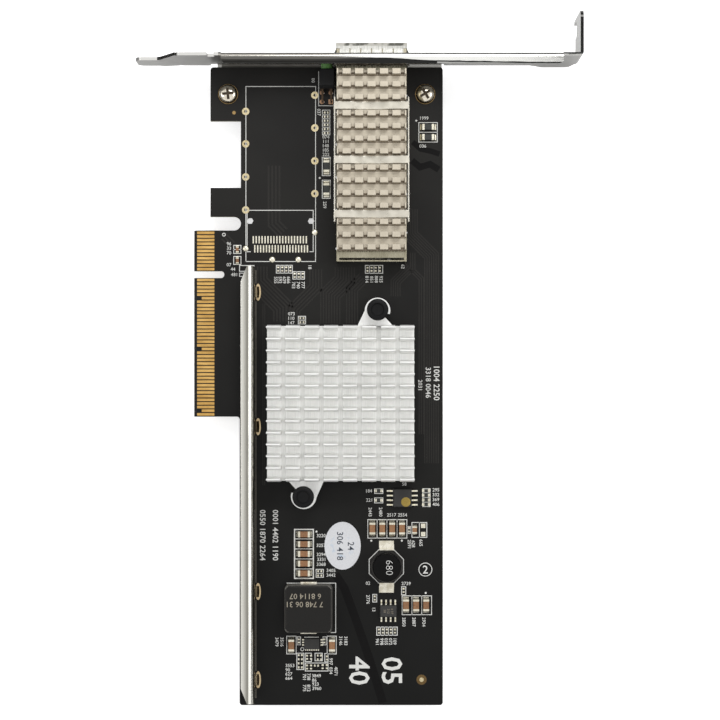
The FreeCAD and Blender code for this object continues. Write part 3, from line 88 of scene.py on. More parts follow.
class Finish:
    """A node material being built on its shader."""

    def __init__(self, name):
        self.material = bpy.data.materials.new(name)
        self.material.use_nodes = True
        self.tree = self.material.node_tree
        self.shader = self.tree.nodes["Principled BSDF"]
        self.place = self.add("ShaderNodeTexCoord").outputs["Object"]

    def add(self, kind, **settings):
        """A new node with some of its settings."""
        node = self.tree.nodes.new(kind)
        for key, value in settings.items():
            setattr(node, key, value)
        return node

    def join(self, source, target):
        """A link from an output to an input."""
        self.tree.links.new(source, target)

    def stretched(self, x, y, z):
        """Object coordinates with the grain drawn out along an axis."""
        node = self.add("ShaderNodeMapping")
        node.inputs["Scale"].default_value = (x, y, z)
        self.join(self.place, node.inputs["Vector"])
        return node.outputs["Vector"]

    def noise(self, scale, detail=4.0, along=(1, 1, 1)):
        """Noise of so many cells a metre."""
        node = self.add("ShaderNodeTexNoise")
        node.inputs["Scale"].default_value = scale
        node.inputs["Detail"].default_value = detail
        self.join(self.stretched(*along), node.inputs["Vector"])
        return node.outputs["Fac"]

    def ramp(self, value, *stops):
        """Colours at places along a value."""
        node = self.add("ShaderNodeValToRGB")
        elements = node.color_ramp.elements
        while len(elements) < len(stops):
            elements.new(0.5)
        for element, (position, colour) in zip(elements, stops):
            element.position = position
            element.color = colour
        self.join(value, node.inputs["Fac"])
        return node.outputs["Color"]

    def tones(self, value, dark, light, low=0.35, high=0.65):
        """Display colours from dark to light over a value's middle range."""
        return self.ramp(value, (low, linear(*dark)), (high, linear(*light)))

    def greys(self, value, stops, green=1.0, blue=0.98):
        """Greys at places along a value, with one tint for all."""
        colours = [(place, linear(shade, shade * green, shade * blue)) for place, shade in stops]
        return self.ramp(value, *colours)

    def spread(self, value, low, high, start=0.3, end=0.7, **settings):
        """A value's range from start to end mapped to low and high."""
        node = self.add("ShaderNodeMapRange", **settings)
        for socket, number in (("From Min", start), ("From Max", end), ("To Min", low), ("To Max", high)):
            node.inputs[socket].default_value = number
        self.join(value, node.inputs["Value"])
        return node.outputs["Result"]

    def give(self, socket, value):
        """A number or colour set on a socket, or an output joined to it."""
        if isinstance(value, (int, float, tuple)):
            socket.default_value = value
        else:
            self.join(value, socket)

    def mixed(self, factor, first, second):
        """Second colour over the first by a factor."""
        node = self.add("ShaderNodeMix", data_type="RGBA")
        self.join(factor, node.inputs["Factor"])
        self.give(node.inputs[6], first)
        self.give(node.inputs[7], second)
        return node.outputs[2]

    def maths(self, operation, *values, **settings):
        """A sum on numbers and outputs."""
        node = self.add("ShaderNodeMath", operation=operation, **settings)
        for socket, value in zip(node.inputs, values):
            self.give(socket, value)
        return node.outputs["Value"]

    def shared(self, first, share, second):
        """A share of one value and the rest of another."""
        return self.maths("MULTIPLY_ADD", first, share, self.maths("MULTIPLY", second, 1 - share))

    def sway(self, value, width):
        """A value of 0 to 1 turned into a shift to both sides of 0."""
        return self.maths("MULTIPLY", self.maths("SUBTRACT", value, 0.5), width)

    def parts(self, vector, axis):
        """One component of a vector."""
        split = self.add("ShaderNodeSeparateXYZ")
        self.join(vector, split.inputs["Vector"])
        return split.outputs[axis]

    def normal(self, axis):
        """One component of the surface's direction."""
        return self.parts(self.add("ShaderNodeNewGeometry").outputs["Normal"], axis)

    def facing_up(self, least=0.7):
        """1 on level faces, 0 on faces steeper than a share of upright."""
        return self.maths("GREATER_THAN", self.maths("ABSOLUTE", self.normal("Z")), least)

    def relief(self, height, strength, depth):
        """Fine relief, its depth in millimetres."""
        node = self.add("ShaderNodeBump")
        node.inputs["Strength"].default_value = strength
        node.inputs["Distance"].default_value = depth * MM
        self.join(height, node.inputs["Height"])
        self.join(node.outputs["Normal"], self.shader.inputs["Normal"])

    def set(self, **sockets):
        """Plain values on the shader's own sockets; underscores stand for spaces."""
        for key, value in sockets.items():
            self.shader.inputs[key.replace("_", " ")].default_value = value

    def feed(self, **sockets):
        """Node outputs on the shader's sockets."""
        for key, value in sockets.items():
            self.join(value, self.shader.inputs[key.replace("_", " ")])


def grained(name, dark, light, rough, metal, cell, along=(1, 1, 1), depth=0.01, **sockets):
    """Finish whose colour, gloss and relief follow one grain with cells of so many mm."""
    finish = Finish(name)
    grain = finish.noise(1 / (cell * MM), along=along)
    drift = finish.noise(1 / (cell * 14 * MM), 2.0)
    finish.feed(Base_Color=finish.tones(finish.shared(grain, 0.6, drift), dark, light),
                Roughness=finish.spread(grain, *rough))
    finish.relief(grain, 0.5, depth)
    finish.set(Metallic=metal, **sockets)
    return finish.material


# the mask is paler towards the bracket, a painted reflection: share of the pale tone at Y 0 and its growth a
# metre
MASK_REFLECTION_SHARE, MASK_REFLECTION_GROWTH = 0.72, 7.0


def solder_mask_finish():
    """Black mask over glass cloth, paler towards the bracket as a painted reflection, with the bare laminate
    showing at the cut edges.
    """
    finish = Finish("solder_mask_black")
    weave = finish.noise(2600, 3.0)
    pour = finish.noise(38, 2.0)
    deep = finish.tones(pour, (12, 12, 11), (17, 17, 16))
    pale = finish.tones(pour, (28, 27, 26), (35, 34, 32))
    # painted reflection: the pale tone's share grows towards the bracket
    along = finish.maths("MULTIPLY_ADD", finish.parts(finish.place, "Y"), MASK_REFLECTION_GROWTH, MASK_REFLECTION_SHARE,
                         use_clamp=True)
    laminate = finish.tones(finish.noise(900, 3.0, (0.2, 0.2, 3)), (96, 88, 58), (146, 134, 92), 0.3, 0.7)
    finish.feed(Base_Color=finish.mixed(finish.facing_up(), laminate, finish.mixed(along, deep, pale)),
                Roughness=finish.spread(finish.shared(weave, 0.5, pour), 0.34, 0.46))
    finish.relief(weave, 0.35, 0.006)
    finish.set(Specular_IOR_Level=0.14)
    return finish.material


def two_tone(name, level, steep, rough, metal, least, cell, depth=0.0006, **sockets):
    """Finish with one look on its level faces and another on those steeper than a limit; the steep look is
    painted light.
    """
    finish = Finish(name)
    grain = finish.noise(1 / (cell * MM))
    flat = finish.facing_up(least)
    dull = finish.spread(grain, rough[1], rough[1] + 0.1)
    finish.feed(Base_Color=finish.mixed(flat, finish.tones(grain, *steep), finish.tones(grain, *level)),
                Roughness=finish.maths("MULTIPLY_ADD", flat, rough[0] - rough[1], dull),
                Metallic=finish.maths("MULTIPLY_ADD", flat, metal[0] - metal[1], metal[1]))
    finish.relief(grain, 0.5, depth)
    finish.set(**sockets)
    return finish.material


# ---- bracket: painted reflections as greys across the lip, from its outer edge inwards ----
LIP_OUTER_Y = 59.06
LIP_WIDE = 3.0
LIP_SHADED_REFLECTION = ((0.0, 60), (0.08, 66), (0.11, 140), (0.18, 196), (0.27, 176), (0.37, 136), (0.47, 98),
              (0.56, 110), (0.65, 62), (0.74, 64), (0.8, 34), (0.92, 52))
LIP_BRIGHT_REFLECTION = ((0.0, 64), (0.08, 80), (0.12, 190), (0.18, 243), (0.65, 241), (0.7, 228), (0.73, 24), (0.8, 30),
              (0.84, 48), (0.95, 44))
LIP_CLEAR_REFLECTION = LIP_BRIGHT_REFLECTION[:8] + ((0.84, 158), (0.95, 178))
# the painted bright reflection band widens along the lip: places as tenths of a metre, widths as shares of
# LIP_TAPER_WIDE
LIP_TAPER = ((0.48, 0.49), (0.56, 0.575), (0.63, 0.75), (0.97, 0.925))
LIP_TAPER_WIDE = 4.0
# along X: the end of the plain tongue, the change from shaded to bright painted reflection, the start of the
# clear tail
LIP_TONGUE_X, LIP_CHANGE_X, LIP_CLEAR_X = 7.5, (36, 50), 66.5


def bracket_finish():
    """Zinc plate: painted reflection bands along the folded lip, satin on the upright faces with painted
    reflections darkening the inner face and the outer bend.
    """
    finish = Finish("bracket_zinc")
    streak = finish.noise(1 / (0.35 * MM), along=(0.1, 1, 1))
    shift = finish.sway(streak, 0.12)
    sideways = finish.parts(finish.place, "X")
    inward = finish.maths("SUBTRACT", LIP_OUTER_Y * MM, finish.parts(finish.place, "Y"))
    across = finish.maths("MULTIPLY_ADD", inward, 1 / (LIP_WIDE * MM), shift)
    shaded = finish.greys(across, LIP_SHADED_REFLECTION, 0.98, 0.94)
    taper = finish.ramp(finish.maths("MULTIPLY", sideways, 0.01 / MM),
                        *[(place, (share, share, share, 1.0)) for place, share in LIP_TAPER])
    inset = finish.maths("DIVIDE", finish.maths("MULTIPLY", inward, 1 / (LIP_TAPER_WIDE * MM)), taper)
    inset = finish.maths("ADD", inset, shift)
    bright = finish.mixed(finish.maths("GREATER_THAN", sideways, LIP_CLEAR_X * MM),
                          finish.greys(inset, LIP_BRIGHT_REFLECTION), finish.greys(inset, LIP_CLEAR_REFLECTION))
    change = finish.spread(sideways, 0, 1, *[x * MM for x in LIP_CHANGE_X], interpolation_type="SMOOTHSTEP")
    lip = finish.mixed(change, shaded, bright)
    lip = finish.mixed(finish.maths("LESS_THAN", sideways, LIP_TONGUE_X * MM), lip, linear(222, 221, 217))
    # painted reflection: the plate's inner face darker, and the outer bend dark
    inner = finish.maths("LESS_THAN", finish.normal("Y"), -0.5)
    bend = finish.maths("GREATER_THAN", finish.normal("Z"), 0.15)
    satin = finish.mixed(inner, finish.tones(streak, (172, 172, 170), (194, 194, 192)), linear(138, 137, 134))
    satin = finish.mixed(bend, satin, linear(66, 65, 62))
    level = finish.facing_up()
    finish.feed(Base_Color=finish.mixed(level, satin, lip),
                Metallic=finish.maths("MAXIMUM", level, finish.maths("MULTIPLY_ADD", inner, 0.55, 0.35)),
                Roughness=finish.maths("MULTIPLY_ADD", level, -0.28, finish.spread(streak, 0.36, 0.46)))
    finish.relief(streak, 0.5, 0.0003)
    return finish.material


# ---- rail: painted reflections as colours across the flange, as shares of RAIL_SPAN from its free edge ----
RAIL_SPAN = 4.8
RAIL_REFLECTION_BANDS = (
    (0.0, (222, 220, 212)), (0.12, (208, 206, 198)), (0.23, (180, 178, 170)), (0.37, (134, 132, 124)),
    (0.41, (138, 136, 128)), (0.45, (240, 238, 230)), (0.63, (236, 234, 226)), (0.69, (124, 120, 110)),
    (0.76, (116, 112, 101)), (0.79, (250, 230, 192)), (0.85, (238, 214, 170)), (0.88, (64, 50, 36)),
)


def rail_finish():
    """Galvanised strip: brushed flange with painted reflection bands and a painted highlight on the bend,
    painted shade on the web.
    """
    finish = Finish("rail_galvanised")
    low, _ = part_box("stiffener_rail")
    streak = finish.noise(1 / (0.5 * MM), along=(1, 0.04, 1))
    across = finish.maths("SUBTRACT", finish.parts(finish.place, "X"), low.x)
    across = finish.maths("MULTIPLY_ADD", across, 1 / (RAIL_SPAN * MM), finish.sway(streak, 0.075))
    flange = finish.ramp(across, *[(place, linear(*colour)) for place, colour in RAIL_REFLECTION_BANDS])
    # painted shade: the upright web darker than the flange
    web = finish.tones(streak, (78, 75, 68), (112, 108, 98), 0.3, 0.7)
    finish.feed(Base_Color=finish.mixed(finish.facing_up(0.45), web, flange),
                Roughness=finish.spread(streak, 0.16, 0.3))
    finish.relief(streak, 0.5, 0.0006)
    finish.set(Metallic=0.9)
    return finish.material


COLLAR_MOUTH_Y = 61.5


def collar_finish():
    """Spring steel: blotches of painted shade round the mouth, brushed on the fingers, painted shade on their
    rear slopes.
    """
    finish = Finish("collar_spring_steel")
    grain = finish.noise(1 / (0.5 * MM))
    # painted shade: dark blotches round the mouth, which lies in shadow
    blot = finish.tones(finish.noise(420, 2.0), (84, 83, 77), (160, 158, 151), 0.44, 0.56)
    finger = finish.tones(finish.noise(1 / (0.5 * MM), along=(1, 0.05, 1)), (158, 158, 153), (188, 187, 182))
    # painted shade on the rear slopes
    stain = finish.tones(grain, (70, 64, 54), (96, 88, 76))
    mouth = finish.maths("GREATER_THAN", finish.parts(finish.place, "Y"), COLLAR_MOUTH_Y * MM)
    rear = finish.maths("LESS_THAN", finish.normal("Y"), -0.15)
    finish.feed(Base_Color=finish.mixed(rear, finish.mixed(mouth, finger, blot), stain),
                Roughness=finish.spread(grain, 0.4, 0.5))
    finish.relief(grain, 0.4, 0.0008)
    finish.set(Metallic=0.75)
    return finish.material


def clip_finish():
    """Stainless sheet: satin on top, a painted highlight on the slopes of the straps, duller and with painted
    shade down the sides.
    """
    finish = Finish("clip_stainless")
    grain = finish.noise(1 / (2.5 * MM))
    top = finish.tones(grain, (194, 189, 176), (207, 202, 189))
    # painted highlight on the straps' slopes
    slope = finish.tones(grain, (242, 240, 232), (250, 249, 243))
    # painted shade on the upright sides
    side = finish.tones(grain, (176, 171, 158), (192, 187, 174))
    level, upright = finish.facing_up(0.97), finish.maths("SUBTRACT", 1.0, finish.facing_up(0.5))
    dull = finish.maths("MAXIMUM", level, upright)
    finish.feed(Base_Color=finish.mixed(upright, finish.mixed(level, slope, top), side),
                Roughness=finish.maths("MULTIPLY_ADD", dull, 0.1, finish.spread(grain, 0.16, 0.24)),
                Metallic=finish.maths("MULTIPLY_ADD", dull, -0.2, 1.0))
    finish.relief(grain, 0.5, 0.0002)
    return finish.material


STAMP_RADIUS, STAMP_HALF_WIDTH = 3.0, 0.5


def label_finish(centre):
    """Coated paper with a worn round ink stamp."""
    finish = Finish("label_coated_paper")
    offset = finish.add("ShaderNodeVectorMath", operation="DISTANCE")
    finish.give(offset.inputs[0], finish.place)
    finish.give(offset.inputs[1], centre)
    radius = finish.maths("MULTIPLY", offset.outputs["Value"], 1 / MM)
    stamp = finish.maths("COMPARE", radius, STAMP_RADIUS, STAMP_HALF_WIDTH)
    worn = finish.spread(finish.noise(700, 2.0), -0.5, 0.9)
    ink = finish.maths("MULTIPLY", finish.maths("MULTIPLY", stamp, worn), 0.35)
    fibre = finish.noise(5000, 3.0)
    paper = finish.tones(fibre, (204, 205, 208), (219, 220, 223), 0.3, 0.7)
    finish.feed(Base_Color=finish.mixed(ink, paper, linear(120, 165, 205)),
                Roughness=finish.spread(fibre, 0.45, 0.6))
    finish.relief(fibre, 0.2, 0.004)
    return finish.material


# ---- finishes by name: dark and light colour, roughness, metal, size of the grain ----
MASK = solder_mask_finish()
MASK_TRACE = grained("mask_over_copper", (35, 34, 32), (43, 41, 39), (0.32, 0.44), 0, 0.4, depth=0.004,
                     Specular_IOR_Level=0.16)
MASK_GAP = grained("mask_over_gap", (8, 7, 7), (12, 11, 11), (0.4, 0.5), 0, 0.5, depth=0.004,
                   Specular_IOR_Level=0.1)
PRINT = grained("print_white", (206, 206, 202), (232, 232, 228), (0.55, 0.7), 0, 0.25, depth=0.003)
FINGER_GOLD = grained("finger_hard_gold", (188, 146, 80), (216, 176, 106), (0.22, 0.36), 1, 0.5,
                      (0.15, 1, 1), 0.004)
RING_GOLD = grained("ring_flash_gold", (176, 160, 122), (210, 198, 164), (0.25, 0.4), 1, 0.3, depth=0.004)
SLOT_GOLD = grained("slot_flash_gold", (182, 160, 122), (216, 196, 160), (0.3, 0.45), 1, 0.3, depth=0.004)
SPARE_GOLD = grained("spare_ring_gold", (82, 64, 38), (112, 90, 56), (0.35, 0.5), 0.8, 0.3, depth=0.004)
SCREW_GOLD = grained("screw_ring_gold", (128, 104, 66), (168, 142, 98), (0.3, 0.45), 1, 0.3, depth=0.004)
SLOT_FILL = grained("slot_dull_solder", (46, 38, 28), (84, 70, 52), (0.4, 0.55), 0.7, 0.4, depth=0.01)
# painted highlight: light rings round the drum's base
DRUM_RIM_HIGHLIGHT = grained("drum_lacquer_rim", (38, 36, 34), (60, 58, 54), (0.3, 0.4), 0.5, 0.4, depth=0.004)
COPPER_PAD = grained("pad_worn_copper", (128, 98, 76), (172, 138, 112), (0.3, 0.45), 1, 0.3, depth=0.005)
TIN = grained("solder_tin", (200, 194, 174), (234, 230, 214), (0.22, 0.42), 0.9, 0.35, depth=0.012)
TERMINAL = grained("terminal_tin", (186, 178, 156), (240, 236, 222), (0.2, 0.34), 0.65, 1.4, depth=0.01)
# painted shade: grey strip along the rail's foot for the web's shaded side
RAIL_FOOT_SHADE = grained("rail_bead_grey", (58, 55, 48), (82, 78, 70), (0.4, 0.5), 0.2, 0.4, depth=0.004)
ZINC = bracket_finish()
# painted shade: the screw heads' steep rims darker than their tops
SCREW = two_tone("screw_nickel", ((204, 196, 180), (234, 226, 210)), ((84, 72, 56), (126, 112, 92)),
                 (0.1, 0.2), (1.0, 0.9), 0.66, 0.4)
# painted shade: dark floors in the screws' cross recesses
SCREW_RECESS_SHADE = grained("screw_recess_dark", (52, 44, 36), (96, 84, 70), (0.4, 0.55), 0.8, 0.3, depth=0.01)
CAGE = grained("cage_plate_nickel", (146, 140, 120), (174, 168, 148), (0.2, 0.34), 1, 0.3, (1, 0.2, 1),
               0.0015)
COLLAR = collar_finish()
RIDER = grained("rider_cast_nickel", (180, 171, 154), (198, 189, 172), (0.34, 0.46), 0.6, 0.12, depth=0.0012)
# painted shade in the rider's pits and at the foot of its rows
RIDER_PIT = grained("rider_pit_dark", (104, 92, 77), (134, 121, 104), (0.6, 0.75), 0.4, 0.2, depth=0.004)
CLIP = clip_finish()
SINK = grained("sink_extruded_aluminium", (238, 238, 236), (250, 250, 248), (0.32, 0.42), 0.5, 0.5,
               (0.05, 1, 1), 0.0006)
SINK_FLOOR = grained("sink_milled_floor", (231, 231, 228), (247, 247, 244), (0.36, 0.46), 0.4, 0.3,
                     (1, 0.06, 1), 0.0012)
SINK_CUT = grained("sink_sawn_aluminium", (236, 236, 234), (248, 248, 246), (0.3, 0.42), 0.2, 0.3,
                   (1, 0.2, 1), 0.006)
SINK_CHANNEL_FLOOR = grained("sink_channel_sawn", (218, 218, 215), (236, 236, 233), (0.4, 0.5), 0.1, 0.3,
                             (1, 0.1, 1), 0.005)
RAIL = rail_finish()
BLACK_MOULDED = grained("black_moulded", (9, 9, 10), (17, 17, 18), (0.35, 0.5), 0, 0.5, depth=0.008,
                        Specular_IOR_Level=0.14)
LED_HOUSING = grained("led_holder_moulded", (20, 20, 21), (30, 30, 31), (0.45, 0.6), 0, 0.4, depth=0.006,
                     Specular_IOR_Level=0.2)
LEAD_DARK = grained("lead_dull_tin", (42, 34, 27), (72, 58, 44), (0.35, 0.5), 0.9, 0.3, depth=0.006)
CONNECTOR = grained("connector_moulded", (20, 20, 20), (30, 30, 30), (0.45, 0.6), 0, 0.4, depth=0.01)
# painted highlight: the choke's steep edges and sides lighter than its top
CHOKE = two_tone("choke_pressed_powder", ((21, 20, 19), (31, 30, 28)), ((84, 82, 78), (112, 110, 105)),
                 (0.56, 0.56), (0.0, 0.0), 0.93, 0.18, depth=0.01, Specular_IOR_Level=0.18)
DRUM = grained("drum_ferrite", (6, 6, 6), (12, 11, 11), (0.3, 0.45), 0, 0.25, depth=0.006,
               Specular_IOR_Level=0.1)
DRUM_BASE = grained("drum_base_moulded", (14, 13, 12), (24, 23, 22), (0.4, 0.55), 0, 0.4, depth=0.006,
                   Specular_IOR_Level=0.25)
WINDING = grained("winding_enamelled_copper", (120, 62, 32), (168, 92, 50), (0.25, 0.4), 0.8, 0.3, depth=0.01)
EPOXY = grained("epoxy_moulding", (25, 24, 23), (39, 38, 36), (0.5, 0.66), 0, 0.14, depth=0.012)
CERAMIC = grained("ceramic_brown", (112, 76, 48), (156, 112, 74), (0.4, 0.55), 0, 0.4, depth=0.006)
GLAZE = grained("resistor_glaze", (22, 24, 22), (40, 44, 38), (0.3, 0.45), 0, 0.3, depth=0.006)
PAD = grained("pad_silicone", (120, 122, 126), (140, 142, 146), (0.7, 0.85), 0, 0.3, depth=0.02)
LENS = grained("lens_green", (104, 164, 86), (156, 206, 136), (0.12, 0.22), 0, 1.2, depth=0.002,
               Transmission_Weight=0.2, IOR=1.5)
ETCH = grained("etched_number", (142, 134, 118), (176, 168, 150), (0.6, 0.75), 0, 0.2, depth=0.003)
FAINT_ETCH = grained("etched_faint", (98, 90, 78), (126, 118, 102), (0.6, 0.75), 0, 0.2, depth=0.003)
LABEL_INK = grained("label_ink", (38, 44, 54), (58, 66, 78), (0.5, 0.65), 0, 0.3, depth=0.002)
DOT_YELLOW = grained("dot_yellow", (140, 116, 42), (176, 150, 66), (0.45, 0.6), 0, 0.3, depth=0.004)


# ---- shaping ----
def mesh_of(name, shape):
    """Mesh in metres from a bmesh in millimetres, which is used up."""
    mesh = bpy.data.meshes.new(name)
    bmesh.ops.transform(shape, matrix=Matrix.Scale(MM, 4), verts=shape.verts)
    shape.to_mesh(mesh)
    shape.free()
    return mesh


def linked(name, data):
    """Object in the scene that shows a mesh, a curve, a lamp or a camera."""
    holder = bpy.data.objects.new(name, data)
    scene.collection.objects.link(holder)
    return holder


def smoothed(mesh, angle):
    """Smooth shading between faces that meet at less than an angle."""
    mesh.polygons.foreach_set("use_smooth", [True] * len(mesh.polygons))
    mesh.set_sharp_from_angle(angle=math.radians(angle))


def settle(name, shape, finish, replaced=(), smooth=None):
    """A finished piece from a bmesh in millimetres."""
    settle_mesh(name, mesh_of(name, shape), finish, replaced, smooth)


def settle_mesh(name, mesh, finish, replaced=(), smooth=None):
    """A finished piece from a mesh in metres."""
    mesh.materials.clear()
    mesh.materials.append(finish)
    if smooth is not None:
        smoothed(mesh, smooth)
    piece = linked(name, mesh)
    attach(piece, "root")
    if replaced:
        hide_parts(*replaced)


def slab(shape, points, low, high):
    """Closed prism on a ring of points, given anticlockwise from above."""
    below = [shape.verts.new((x, y, low)) for x, y in points]
    above = [shape.verts.new((x, y, high)) for x, y in points]
    shape.faces.new(above)
    shape.faces.new(below[::-1])
    for index, vert in enumerate(below):
        after = (index + 1) % len(below)
        shape.faces.new((vert, below[after], above[after], above[index]))


def block(shape, x0, x1, y0, y1, low, high):
    """Closed box."""
    slab(shape, [(x0, y0), (x1, y0), (x1, y1), (x0, y1)], low, high)


def oval_points(x, y, half_x, half_y, sides=32, start=0.0):
    """Points round an oval, anticlockwise."""
    angles = [start + 2 * math.pi * index / sides for index in range(sides)]
    return [(x + half_x * math.cos(angle), y + half_y * math.sin(angle)) for angle in angles]


def round_points(x, y, radius, sides, start=0.0):
    """Points round a circle, or the corners of a regular shape, anticlockwise."""
    return oval_points(x, y, radius, radius, sides, start)


def disc(shape, x, y, radius, low, high, sides=24):
    """Closed round plate."""
    slab(shape, round_points(x, y, radius, sides), low, high)


def ring(shape, outer, inner, low, high):
    """Closed band between two rings with the same number of points."""
    rows = []
    for points, level in ((outer, high), (inner, high), (inner, low), (outer, low)):
        rows.append([shape.verts.new((x, y, level)) for x, y in points])
    count = len(outer)
    for index in range(count):
        after = (index + 1) % count
        for near, far in zip(rows, rows[1:] + rows[:1]):
            shape.faces.new((near[index], near[after], far[after], far[index]))


def band(shape, x, y, outer, inner, low, high, sides=40, start=0.0):
    """Closed round band."""
    ring(shape, round_points(x, y, outer, sides, start), round_points(x, y, inner, sides, start), low, high)


def shifted(points, offset):
    """Path moved sideways by an offset, keeping its bends parallel."""
    path = [Vector(point) for point in points]
    moved = []
    for index, here in enumerate(path):
        before = (here - path[index - 1]).normalized() if index else None
        after = (path[index + 1] - here).normalized() if index + 1 < len(path) else None
        way = ((before or after) + (after or before)).normalized()
        moved.append(here + Vector((-way.y, way.x)) * offset / max(way.dot(before or after), 0.5))
    return moved


def stroke(shape, points, width, low, high):
    """Line of one width along points, with mitred bends."""
    left, right = shifted(points, width / 2), shifted(points, -width / 2)
    for index in range(len(left) - 1):
        slab(shape, [right[index], right[index + 1], left[index + 1], left[index]], low, high)


def bar(shape, profile, half, across="Y"):
    """Closed bar: a profile of (along, height) pairs drawn out by half its width to both sides."""
    rows = []
    for along, level in profile:
        ends = [(along, side * half) if across == "Y" else (side * half, along) for side in (-1, 1)]
        rows.append([shape.verts.new((x, y, level)) for x, y in ends])
    for near, far in zip(rows, rows[1:] + rows[:1]):
        shape.faces.new((near[0], near[1], far[1], far[0]))
    for end in (0, 1):
        shape.faces.new([row[end] for row in rows])
    bmesh.ops.recalc_face_normals(shape, faces=shape.faces)


def outline(shape, x0, x1, y0, y1, width, low, high):
    """Printed rectangle whose line runs just inside its corners."""
    outer = [(x0, y0), (x1, y0), (x1, y1), (x0, y1)]
    x2, x3, y2, y3 = x0 + width, x1 - width, y0 + width, y1 - width
    ring(shape, outer, [(x2, y2), (x3, y2), (x3, y3), (x2, y3)], low, high)


def lathe(shape, profile, x, y, sides=48):
    """Solid of revolution from (radius, height) pairs that start and end on the axis."""
    rows = []
    for radius, level in profile:
        if radius == 0:
            rows.append([shape.verts.new((x, y, level))])
        else:
            rows.append([shape.verts.new((px, py, level)) for px, py in round_points(x, y, radius, sides)])
    for low, high in zip(rows, rows[1:]):
        for index in range(sides):
            after = (index + 1) % sides
            turns = ((low, index), (low, after), (high, after), (high, index))
            corners = dict.fromkeys(row[place % len(row)] for row, place in turns)
            if len(corners) > 2:
                shape.faces.new(list(corners))


SHARP_ANGLE = 30


def bevelled(shape, width):
    """Rounds every sharp edge."""
    edges = [edge for edge in shape.edges if len(edge.link_faces) == 2
             and edge.calc_face_angle(0) > math.radians(SHARP_ANGLE)]
    bmesh.ops.bevel(shape, geom=edges, offset=width, segments=2, affect="EDGES", clamp_overlap=True)


def evaluated(holder, all_layers=False):
    """Plain mesh of an object with its modifiers; the object itself goes away."""
    bpy.context.view_layer.update()
    graph = bpy.context.evaluated_depsgraph_get()
    mesh = bpy.data.meshes.new_from_object(holder.evaluated_get(graph), preserve_all_data_layers=all_layers,
                                           depsgraph=graph)
    bpy.data.objects.remove(holder)
    return mesh


def flat_true(mesh, smooth):
    """Smooth shading that leaves the broad faces flat."""
    smoothed(mesh, smooth)
    holder = linked("holder", mesh)
    weights = holder.modifiers.new("weights", "WEIGHTED_NORMAL")
    weights.keep_sharp = True
    weights.weight = 100
    return evaluated(holder, True)


def carved(shape, cutter):
    """A body less a cutter, both bmeshes in millimetres, as a mesh in metres."""
    body, tool = [linked("part", mesh_of("part", part)) for part in (shape, cutter)]
    cut = body.modifiers.new("cut", "BOOLEAN")
    cut.operation = "DIFFERENCE"
    cut.solver = "EXACT"
    cut.object = tool
    mesh = evaluated(body, True)
    bpy.data.objects.remove(tool)
    return mesh


MERGE_REACH, FLAT_ANGLE = 0.002, 2


def softened(node, finish, width, smooth):
    """A CAD node's own form with its edges broken, standing for that node."""
    shape = bmesh.new()
    shape.from_mesh(frame["nodes"][node].data)
    bmesh.ops.remove_doubles(shape, verts=shape.verts, dist=MERGE_REACH * MM)
    bmesh.ops.dissolve_limit(shape, angle_limit=math.radians(FLAT_ANGLE), verts=shape.verts,
                             edges=shape.edges)
    bevelled(shape, width * MM)
    mesh = bpy.data.meshes.new(node + "_rounded")
    shape.to_mesh(mesh)
    shape.free()
    settle_mesh(node + "_dressed", flat_true(mesh, smooth), finish, (node,))


# ---- geometry node trees ----
def new_tree(name, **inputs):
    """Tree with named inputs and one geometry output; underscores stand for spaces."""
    tree = bpy.data.node_groups.new(name, "GeometryNodeTree")
    for key, kind in inputs.items():
        label = key.replace("_", " ")
        tree.interface.new_socket(name=label, in_out="INPUT", socket_type="NodeSocket" + kind)
    tree.interface.new_socket(name="Geometry", in_out="OUTPUT", socket_type="NodeSocketGeometry")
    return tree, tree.nodes.new("NodeGroupInput"), tree.nodes.new("NodeGroupOutput")


def join_all(tree, *pairs):
    """Links from outputs to inputs."""
    for source, target in pairs:
        tree.links.new(source, target)


def close_tree(tree, source, entry, leave):
    """Ends a tree in Realize Instances and Set Material."""
    real = tree.nodes.new("GeometryNodeRealizeInstances")
    paint = tree.nodes.new("GeometryNodeSetMaterial")
    join_all(tree, (source, real.inputs[0]), (real.outputs[0], paint.inputs["Geometry"]),
             (entry.outputs["Finish"], paint.inputs["Material"]),
             (paint.outputs[0], leave.inputs["Geometry"]))
    return tree


def copies_tree():
    """Copies of one stamp on points that each carry a turn."""
    tree, entry, leave = new_tree("placed_copies", Geometry="Geometry", Stamp="Object", Finish="Material")
    stamp = tree.nodes.new("GeometryNodeObjectInfo")
    turn = tree.nodes.new("GeometryNodeInputNamedAttribute")
    spin = tree.nodes.new("ShaderNodeCombineXYZ")
    copy = tree.nodes.new("GeometryNodeInstanceOnPoints")
    turn.inputs["Name"].default_value = "turn"
    join_all(tree, (entry.outputs["Stamp"], stamp.inputs["Object"]),
             (turn.outputs["Attribute"], spin.inputs["Z"]),
             (entry.outputs["Geometry"], copy.inputs["Points"]),
             (stamp.outputs["Geometry"], copy.inputs["Instance"]),
             (spin.outputs["Vector"], copy.inputs["Rotation"]))
    return close_tree(tree, copy.outputs[0], entry, leave)


